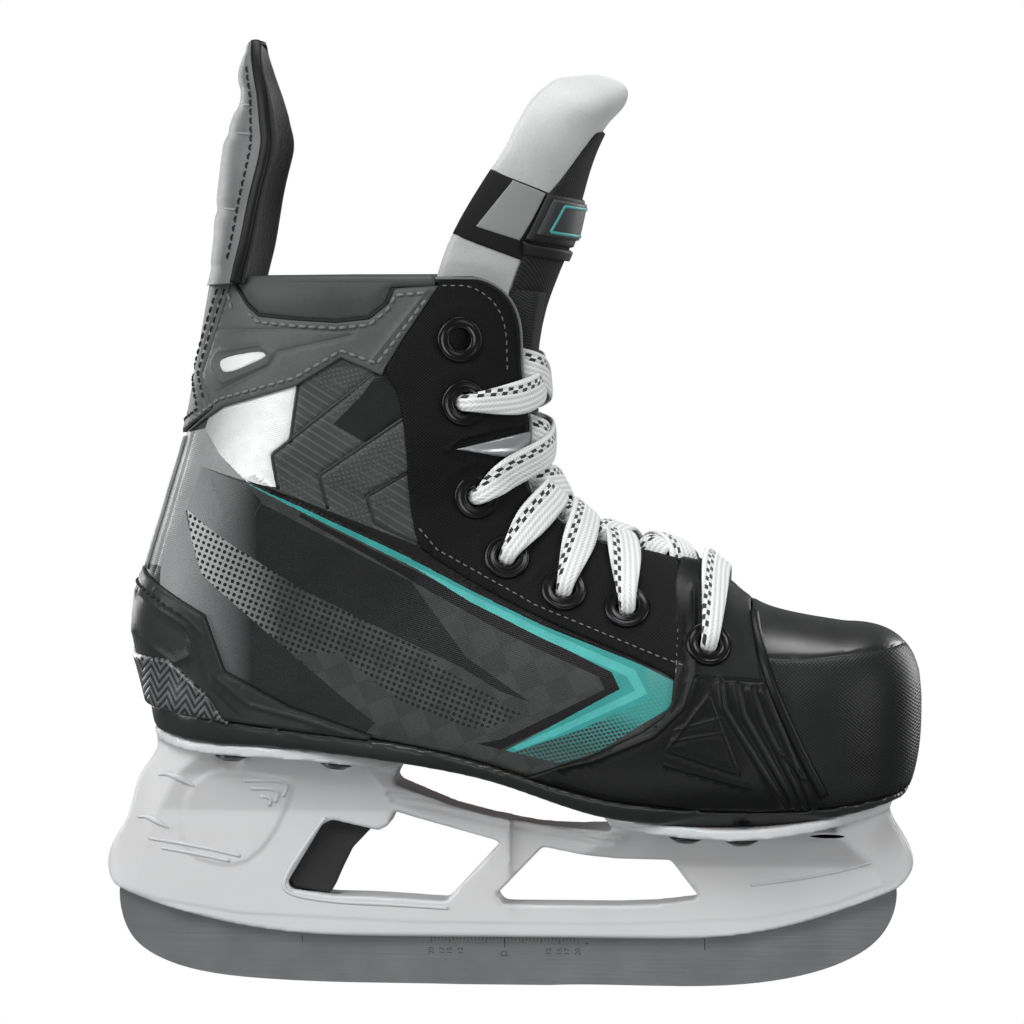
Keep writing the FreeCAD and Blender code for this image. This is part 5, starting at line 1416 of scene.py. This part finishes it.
def face_share(t):
    return 0.70 if t < 3.9 else 0.70 - 0.40 * (t - 3.9) / 1.9


felt = upright("tongue_felt_pad", tongue, MAT["felt"], -0.9, 9.0, 1.2, 7.0, swell=felt_swell, tip=0.5)
cloth = upright("tongue_face_cloth", tongue, MAT["tongue_cloth"], 0.0, 5.85, -0.35, 1.9, share=face_share,
                tip=0.12)
hung(felt, ["tongue_felt"])
hung(cloth, ["tongue_face"])


def sheet_patch(name, bent, corners, material, start, thickness, lift, thick=0.5, share=1.0, rows=40,
                columns=60):
    """A thin rounded patch laid on a pad: corners are (t, angle) for its four corners, in order."""
    a, b, c, d = (np.array(p, float) for p in corners)
    s, r = np.meshgrid(np.linspace(0, 1, columns), np.linspace(0, 1, rows))
    s3, r3 = s[..., None], r[..., None]
    spots = (a * (1 - s3) + b * s3) * (1 - r3) + (d * (1 - s3) + c * s3) * r3
    rim = np.minimum(np.minimum(s * columns, (1 - s) * columns), np.minimum(r * rows, (1 - r) * rows))
    rise = lift - thick * 0.6 * np.exp(-rim.ravel() / 0.6)
    outer = shell_points(bent, spots.reshape(-1, 2), start, thickness, rise, share)
    inner = shell_points(bent, spots.reshape(-1, 2), start, thickness, lift - thick, share)
    verts = np.vstack([outer, inner])
    uvs = np.stack([verts[:, 0] + verts[:, 1], verts[:, 2]], -1)
    return make(name, verts, plate_faces(rows, columns), [material], uvs=uvs, outward=True)


def shell_points(bent, spots, start, thickness, lift, share):
    """Points on a pad's skin, raised by lift along the skin's own outward direction."""
    def at(s):
        t, angle = s.T
        across = np.sin(angle) * share
        swell = np.sign(np.cos(angle)) * np.abs(np.cos(angle)) ** 0.45
        return bent.point(t, across, start + thickness / 2 - thickness / 2 * swell)
    step = 0.01
    base = at(spots)
    out = np.cross(at(spots + [step, 0]) - at(spots - [step, 0]),
                   at(spots + [0, step]) - at(spots - [0, step]))
    out = unit(out)
    t, angle = spots.T
    core = bent.point(t, np.sin(angle) * share * 0.5, start + thickness / 2)
    out *= np.sign(np.sum(out * (base - core), axis=1, keepdims=True))
    return base + out * np.asarray(lift).reshape(-1, 1)


label = sheet_patch("tongue_label", tongue, [(2.2, -0.72), (2.56, -1.62), (4.4, -1.62), (4.02, -0.72)],
                    MAT["label"],
                    1.2, 7.0, 0.45, 0.35)
patch = sheet_patch("tongue_label_flash", tongue, [(2.72, -0.86), (2.86, -1.36), (4.2, -1.22), (4.0, -0.76)],
                    MAT["label_grey"], 1.2, 7.0, 0.55, 0.3)
for piece in (label, patch):
    settle(piece, "tongue_body")
badge = sheet_patch("tongue_badge", tongue, [(2.98, -0.82), (2.98, 0.82), (3.92, 0.76), (3.92, -0.76)],
                    MAT["badge"],
                    -0.35, 1.9, 1.7, 2.0, rows=36, columns=70)
rim = sheet_patch("tongue_badge_base", tongue, [(2.78, -0.88), (2.78, 0.88), (4.0, 0.82), (4.0, -0.82)],
                  MAT["trigger"],
                  -0.35, 1.9, 0.9, 1.2, rows=36, columns=70)
brow = sheet_patch("tongue_moulded_rib", tongue, [(2.42, -0.84), (2.42, 0.84), (2.72, 0.9), (2.72, -0.9)],
                   MAT["trigger"],
                   -0.35, 1.9, 1.3, 1.6, rows=16, columns=70)
for piece in (badge, rim, brow):
    settle(piece, "tongue_body")
frame_path = np.array([(3.12, -0.68), (3.12, 0.68), (3.45, 0.64), (3.78, 0.6), (3.78, -0.6), (3.45, -0.64),
                       (3.12, -0.68)])
spots = even(frame_path, 0.02)
low, high = (shell_points(tongue, spots, -0.35, 1.9, lift, 1.0) for lift in (1.75, 2.75))
settle(joined("tongue_badge_frame", [sweep(low, high - low, 0.45, 0.3, 8)], MAT["teal"]),
       "tongue_body")


def lower_tongue():
    """The tongue between the eyestays, from the toe up to where the laces stop."""
    rows, columns = 110, 41
    tops, unders = [], []
    for q in np.linspace(-23, height_station(188), rows):
        gap = float(keyed(THROAT, q))
        reach = gap + 6.5
        across = np.linspace(-1, 1, columns) * reach
        crown = -1.9 + 1.5 * np.clip((q - 96) / 14, 0, 1)
        drop = np.clip((np.abs(across) - (gap - 7)) / 7.0, 0, 1)
        height = crown - (crown + 9.6) * drop**2 * (3 - 2 * drop)
        base = instep_point(np.full(columns, q), across, 0.0)
        out = np.array([instep_normal(q, a) for a in across])
        tops.append(base + out * height[:, None])
        unders.append(base + out * -12.6)
    tops, unders = np.array(tops), np.array(unders)
    verts = np.vstack([tops.reshape(-1, 3), unders.reshape(-1, 3)])
    uvs = np.stack([verts[:, 1], verts[:, 2] + verts[:, 0] * 0.6], -1)
    return make("tongue_lower_pad", verts, plate_faces(rows, columns), [MAT["tongue_cloth"]], uvs=uvs,
                merge=0.001)


lower = lower_tongue()
settle(lower, stands_for=["tongue_lower"])


GUARD_HEIGHTS = [(a[1] + b[1]) / 2 for a, b, w in GUARD_SECTIONS]
GUARD_SEGMENTS = [(196, 209.5, 0.55), (212, 229.0, 0.6), (231.5, 237, 0.5), (244, 252, 0.5)]


def guard_t(z):
    return np.interp(z, GUARD_HEIGHTS, np.arange(len(GUARD_HEIGHTS)))


def rise_between(z, low, high, steep=2.2):
    return 1 / (1 + math.exp(-(z - low) * steep)) - 1 / (1 + math.exp(-(z - high) * steep))


def guard_swell(t, across, front):
    """Raised segments with grooves between them, and a shallow spine down the middle."""
    z = np.interp(t, np.arange(len(GUARD_HEIGHTS)), GUARD_HEIGHTS)
    lift = sum(rise * rise_between(z, low, high) for low, high, rise in GUARD_SEGMENTS)
    off_edge = np.clip((0.93 - np.abs(across)) / 0.06, 0, 1)
    spine = 0.5 * np.exp(-(across / 0.3) ** 4) * rise_between(z, 205, 238, 1.0)
    return np.where(front > 0, -(lift * off_edge + spine), 0.0)


shell = upright("tendon_guard_shell", guard, MAT["guard"], 0.5, 9.0, 0.0, 2.2, swell=guard_swell, rows=170,
                ring=80, tip=0.6)
hung(shell, ["guard_shell"])


def lining_thickness(t):
    z = float(np.interp(t, np.arange(len(GUARD_HEIGHTS)), GUARD_HEIGHTS))
    return 4.6 + 1.2 * math.exp(-((z - 229) / 7) ** 2) - 2.4 * float(np.clip((z - 236) / 20, 0, 1))


pad = upright("tendon_guard_lining", guard, MAT["felt_dark"], 0.5, 9.0, 2.1, lining_thickness, share=0.98,
              rows=110, tip=0.7)
hung(pad, ["guard_lining"])
climb = np.concatenate([np.linspace(0.5, 8.85, 90), np.linspace(8.9, 8.98, 8)])
path_t = np.concatenate([climb, np.full(24, 9.0), climb[::-1]])
path_across = np.concatenate([np.full(98, -0.985), np.linspace(-0.95, 0.95, 24), np.full(98, 0.985)])
path = even(guard.point(path_t, path_across, 2.3), 0.9)
ups = path - np.stack([np.full(len(path), -70.0), np.zeros(len(path)), np.minimum(path[:, 2], 246)], -1)
ups[:, 0] *= 0.1
binding = joined("tendon_guard_binding", [sweep(path, ups, 1.5, 0.8, 12, 2.2)], MAT["edging"])
hung(binding)
for index, z_low in enumerate((210.8, 230.3, 238.5)):
    slits = []
    for side in BOTH:
        spots_t = np.full(14, guard_t(z_low)) + np.linspace(0.02, -0.02, 14)
        spots_a = side * np.linspace(0.66, 0.92, 14)
        centre = guard.point(spots_t, spots_a, -0.02)
        lift = guard.point(spots_t, spots_a, -1.0) - centre
        slits.append(sweep(centre, lift, np.linspace(0.15, 0.4, 14), 0.22, 8))
    settle(joined(f"guard_slit_{index}", slits, MAT["q_grey"]), "guard_body")
rows_made = []
stitch_t = np.linspace(guard_t(196.5), guard_t(250), 90)
for side in BOTH:
    line = guard.point(stitch_t, np.full(90, side * 0.93), -0.12)
    out = line - guard.point(stitch_t, np.full(90, side * 0.93), 1.5)
    rows_made += stitch_row(line, out, 2.5, 1.7, 0.3)
settle(joined("guard_stitching", rows_made, MAT["thread"]), "guard_body")


# ---------------------------------------------------------------- moulded and steel parts from the frame
def moulded(name, node, material, voxel, passes, strength=0.5, shape=None):
    """The frame's part with its edges rounded as a mould leaves them."""
    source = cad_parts[node]
    mesh = source.data.copy()
    work = bmesh.new()
    work.from_mesh(mesh)
    work.transform(source.matrix_world)
    bmesh.ops.remove_doubles(work, verts=work.verts, dist=1e-6)
    work.to_mesh(mesh)
    work.free()
    rough = bpy.data.objects.new(name + "_rough", mesh)
    bpy.context.collection.objects.link(rough)
    remesh = rough.modifiers.new("voxels", "REMESH")
    remesh.mode, remesh.voxel_size = "VOXEL", voxel * MM
    even_out = rough.modifiers.new("round", "SMOOTH")
    even_out.factor, even_out.iterations = strength, passes
    graph = bpy.context.evaluated_depsgraph_get()
    graph.update()
    done = bpy.data.meshes.new_from_object(rough.evaluated_get(graph))
    bpy.data.objects.remove(rough)
    count = len(done.vertices)
    verts = np.empty(count * 3, np.float32)
    done.vertices.foreach_get("co", verts)
    verts = verts.reshape(-1, 3) / MM
    if shape is not None:
        normal = np.empty(count * 3, np.float32)
        done.vertices.foreach_get("normal", normal)
        verts = verts + normal.reshape(-1, 3) * shape(verts, normal.reshape(-1, 3))[:, None]
    faces = [tuple(p.vertices) for p in done.polygons]
    return make(name, verts, faces, [material])


FLUTES = [[(-29.5, 50.7), (-20.3, 49.1), (-1.4, 44.7), (14.9, 42), (29, 40.1)],
          [(-30.6, 52.6), (-20.3, 51.2), (-1.4, 47.4), (14.9, 44.2), (31.2, 41.7)]]
RAIL_STEP = [(-103, 25.2), (-95, 22.6), (-71.8, 18.9), (-23, 16.7), (31.2, 16.7), (69.1, 18.6), (90, 23),
             (106, 29.4)]


def holder_shape(verts, normal):
    places = verts[:, [0, 2]]
    lift = np.zeros(len(verts))
    facing = np.clip(np.abs(normal[:, 1]) * 1.4 - 0.2, 0, 1)
    for path in FLUTES:
        lift -= 0.9 * np.exp(-(distance_to(even(path, 1.0), places) / 0.75) ** 2)
    lift -= 0.25 * np.exp(-(distance_to(np.array(RAIL_STEP), places) / 0.6) ** 2)
    panel_edge = rounded([(-84, 61), (-60, 58.4), (-56, 57), (-57.5, 50), (-63.7, 38), (-73, 31), (-90, 36)],
                         2, True)
    within = inside(panel_edge, places)
    away = distance_to(np.vstack([panel_edge, panel_edge[:1]]), places)
    lift += np.where(within, 0.45 * np.clip(away / 1.0, 0, 1), 0)
    pocket = np.hypot((places[:, 0] - 52) / 5.5, (places[:, 1] - 41.6) / 2.4)
    lift -= 0.8 * np.exp(-pocket**2)
    scoop = np.hypot((places[:, 0] - 34.5) / 4.0, (places[:, 1] - 41.5) / 3.4)
    lift -= 1.0 * np.exp(-scoop**2)
    return lift * facing


holder = moulded("blade_holder", "holder", MAT["holder"], 0.66, 3, 0.5, holder_shape)
settle(holder, stands_for=["holder"])
graph = bpy.context.evaluated_depsgraph_get()
holder_tree = BVHTree.FromObject(holder, graph)


def holder_beads(name, paths, width, height, tapered=False):
    """Rounded ribs laid on the holder's two sides along side-view paths."""
    parts = []
    for side in BOTH:
        for path in paths:
            points, outs = [], []
            for x, z in even(rounded(path, 2), 0.8):
                hit, normal, index, gap = holder_tree.ray_cast(Vector((x, side * 90, z)) * MM,
                                                               Vector((0, -side, 0)))
                if hit is not None and abs(normal.y) > 0.25:
                    points.append(np.array(hit) / MM)
                    outs.append(np.array(normal))
            if len(points) > 5:
                points = np.array(points)
                points[1:-1] = (points[:-2] + points[1:-1] * 2 + points[2:]) / 4
                size = np.full(len(points), width)
                if tapered:
                    from_end = np.minimum(np.arange(len(points)), np.arange(len(points))[::-1])
                    size = width * np.clip(from_end / 5 + 0.15, 0, 1)
                parts.append(sweep(points, np.array(outs), size, height, 8))
    return settle(joined(name, parts, MAT["holder"]))


WINDOW_BEAD = [(-48, 46.4), (-52, 41), (-60.4, 28.4), (-59, 24.8), (-46, 22.8), (-33, 22.4), (-15, 21.4)]
holder_beads("holder_window_bead", [WINDOW_BEAD], 0.55, 0.35)
holder_beads("holder_ribs", [[(-70, 56.4), (-57.2, 56.6), (-59.4, 52)],
                             [(-68, 54.2), (-60, 54.2), (-61.6, 50.4)],
                             [(-65.4, 52), (-62.4, 51.8), (-63.2, 49.4)],
                             [(-96.6, 40.1), (-82.7, 37.9), (-71.5, 35.4)],
                             [(-93, 37.4), (-82.7, 35.7), (-74.5, 34)]], 0.5, 0.35)
holder_beads("holder_heel_ribs", [[(-93.4, 57.4), (-90.4, 58.4), (-83.4, 54.8)],
                                  [(-99.6, 45.6), (-97, 46.3), (-91, 43)]],
             0.9, 0.6, True)
holder_beads("holder_nose_lines", [[(66.9, 28.4), (80, 30.2), (92, 32.6), (99.2, 35)],
                                   [(72, 49.2), (82, 50), (92, 50.6)]],
             0.4, 0.25)

trigger = moulded("trigger_lever", "trigger", MAT["trigger"], 0.42, 3)
settle(trigger, "trigger_body", ["trigger"])
outsole = moulded("outsole_moulding", "outsole", MAT["outsole"], 0.95, 4)
settle(outsole, stands_for=["outsole"])
footbed = moulded("footbed_cushion", "footbed", MAT["footbed"], 1.2, 6)
settle(footbed, stands_for=["footbed"])


def rivet_heads(name, node, top):
    """The rivets seen below the sole, with everything above a height drawn down to it."""
    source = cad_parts[node]
    matrix = np.array(source.matrix_world)
    verts = np.array([tuple(v.co) for v in source.data.vertices]) @ matrix[:3, :3].T / MM + matrix[:3, 3] / MM
    verts[:, 2] = np.minimum(verts[:, 2], top)
    return make(name, verts, [tuple(p.vertices) for p in source.data.polygons], [MAT["rivet"]], merge=0.01)


settle(rivet_heads("front_rivet_heads", "front_rivets", 43.2), stands_for=["front_rivets"])
for node, key in (("runner", "steel"), ("trigger_pin", "pin"), ("trigger_spring", "pin"),
                  ("rear_rivets", "rivet"),
                  ("rivet_washers", "rivet"), ("insole_board", "board"), ("lace_aglets", "aglet")):
    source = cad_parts[node]
    source.data.materials.clear()
    source.data.materials.append(MAT[key])


# ---------------------------------------------------------------- the printed scale on the runner
def printed_text(text, size):
    curve = bpy.data.curves.new("figure_" + text, "FONT")
    curve.body, curve.size, curve.align_x, curve.align_y = text, size * MM, "CENTER", "CENTER"
    holder_object = bpy.data.objects.new("figure_" + text, curve)
    bpy.context.collection.objects.link(holder_object)
    bpy.context.view_layer.update()
    mesh = bpy.data.meshes.new_from_object(holder_object)
    flat = np.array([v.co[:2] for v in mesh.vertices]) / MM
    faces = [tuple(p.vertices) for p in mesh.polygons]
    bpy.data.objects.remove(holder_object)
    return flat, faces


RUNNER_FACE = 1.53
FIGURES = [(-20, "20"), (-17, "17"), (-15, "15"), (-12, "12"), (12, "12"), (15, "15"), (17, "17"), (20, "20")]
parts = []


def inlay(verts_xz, faces, side):
    verts = np.stack([verts_xz[:, 0], np.full(len(verts_xz), side * RUNNER_FACE), verts_xz[:, 1]], -1)
    parts.append((verts, faces if side == LATERAL else [f[::-1] for f in faces], verts_xz))


for side in BOTH:
    for x, text in FIGURES:
        flat, faces = printed_text(text, 2.0)
        inlay(np.stack([x + side * flat[:, 1], 9.2 - side * flat[:, 0]], -1), faces, side)
    for x, text in ((0, "CL"), (-22.4, "-"), (22.4, "+")):
        flat, faces = printed_text(text, 2.0)
        inlay(np.stack([x - side * flat[:, 0], (8.4 if x == 0 else 11.4) + flat[:, 1]], -1), faces, side)
    ticks = [(x, 0.09, 11.4 if x % 5 == 0 else 12.1, 13.1) for x in range(-20, 21)]
    ticks += [(-55.3, 0.14, 11.0, 13.1), (54.4, 0.14, 10.0, 13.1), (0, 0.12, 10.2, 13.1)]
    for x, half, low, high in ticks:
        corners = np.array([(x - half, low), (x + half, low), (x + half, high), (x - half, high)])
        inlay(corners, [(0, 1, 2, 3)], side)
verts, faces, uvs = gather(parts)
settle(make("runner_scale", verts, faces, [MAT["mark"]], smooth=False), "runner_body")

# ================================================================ studio
world = bpy.data.worlds.new("studio")
bpy.context.scene.world = world
world.use_nodes = True
tree = world.node_tree
shade, ray = tree.nodes["Background"], tree.nodes.new("ShaderNodeLightPath")
backdrop, choose = tree.nodes.new("ShaderNodeBackground"), tree.nodes.new("ShaderNodeMixShader")
shade.inputs[0].default_value, shade.inputs[1].default_value = (0.96, 0.98, 1, 1), 0.15
backdrop.inputs[0].default_value = (1, 1, 1, 1)
tree.links.new(ray.outputs["Is Camera Ray"], choose.inputs[0])
tree.links.new(shade.outputs[0], choose.inputs[1])
tree.links.new(backdrop.outputs[0], choose.inputs[2])
tree.links.new(choose.outputs[0], tree.nodes["World Output"].inputs[0])


def area_light(name, place, target, size, power):
    data = bpy.data.lights.new(name, "AREA")
    data.shape, data.size, data.size_y, data.energy = "RECTANGLE", size[0], size[1], power
    lamp = bpy.data.objects.new(name, data)
    lamp.location = place
    lamp.rotation_euler = (Vector(target) - Vector(place)).to_track_quat("-Z", "Y").to_euler()
    bpy.context.collection.objects.link(lamp)


# name, place, target, size in m, power in W
LIGHTS = [("key_light", (-0.45, -1.15, 1.0), (0, 0, 0.12), (0.9, 0.6), 14),
          ("front_light", (1.05, -0.6, 0.4), (0.08, 0, 0.08), (0.3, 0.8), 6),
          ("nose_rim_light", (0.8, 1.0, 0.35), (0.05, 0, 0.1), (0.5, 0.7), 5),
          ("heel_rim_light", (-0.8, 1.0, 0.35), (-0.05, 0, 0.12), (0.5, 0.7), 5),
          ("rear_light", (-1.15, -0.6, 0.4), (-0.06, 0, 0.13), (0.5, 0.9), 9),
          ("top_light", (0.05, 0.15, 1.25), (0.02, 0, 0.1), (0.9, 0.5), 10),
          ("low_light", (0.1, -1.1, -0.45), (0, 0, 0.08), (1.2, 0.3), 3.2)]
for light in LIGHTS:
    area_light(*light)

camera = bpy.data.objects.new("camera", bpy.data.cameras.new("camera"))
bpy.context.collection.objects.link(camera)
AIM = Vector((0.0019, 0.0, 0.1287))
AZIMUTH, ELEVATION, DISTANCE = math.radians(4), math.radians(3), 1.35
FRAME_WIDTH = 0.2775
back = Vector((math.sin(AZIMUTH) * math.cos(ELEVATION), -math.cos(AZIMUTH) * math.cos(ELEVATION),
               math.sin(ELEVATION)))
camera.location = AIM + back * DISTANCE
camera.rotation_euler = (-back).to_track_quat("-Z", "Y").to_euler()
camera.data.sensor_width = 36
camera.data.lens = 36 * DISTANCE / FRAME_WIDTH
camera.data.clip_start, camera.data.clip_end = 0.05, 20
bpy.context.scene.camera = camera
bpy.context.scene.view_settings.view_transform = "Standard"
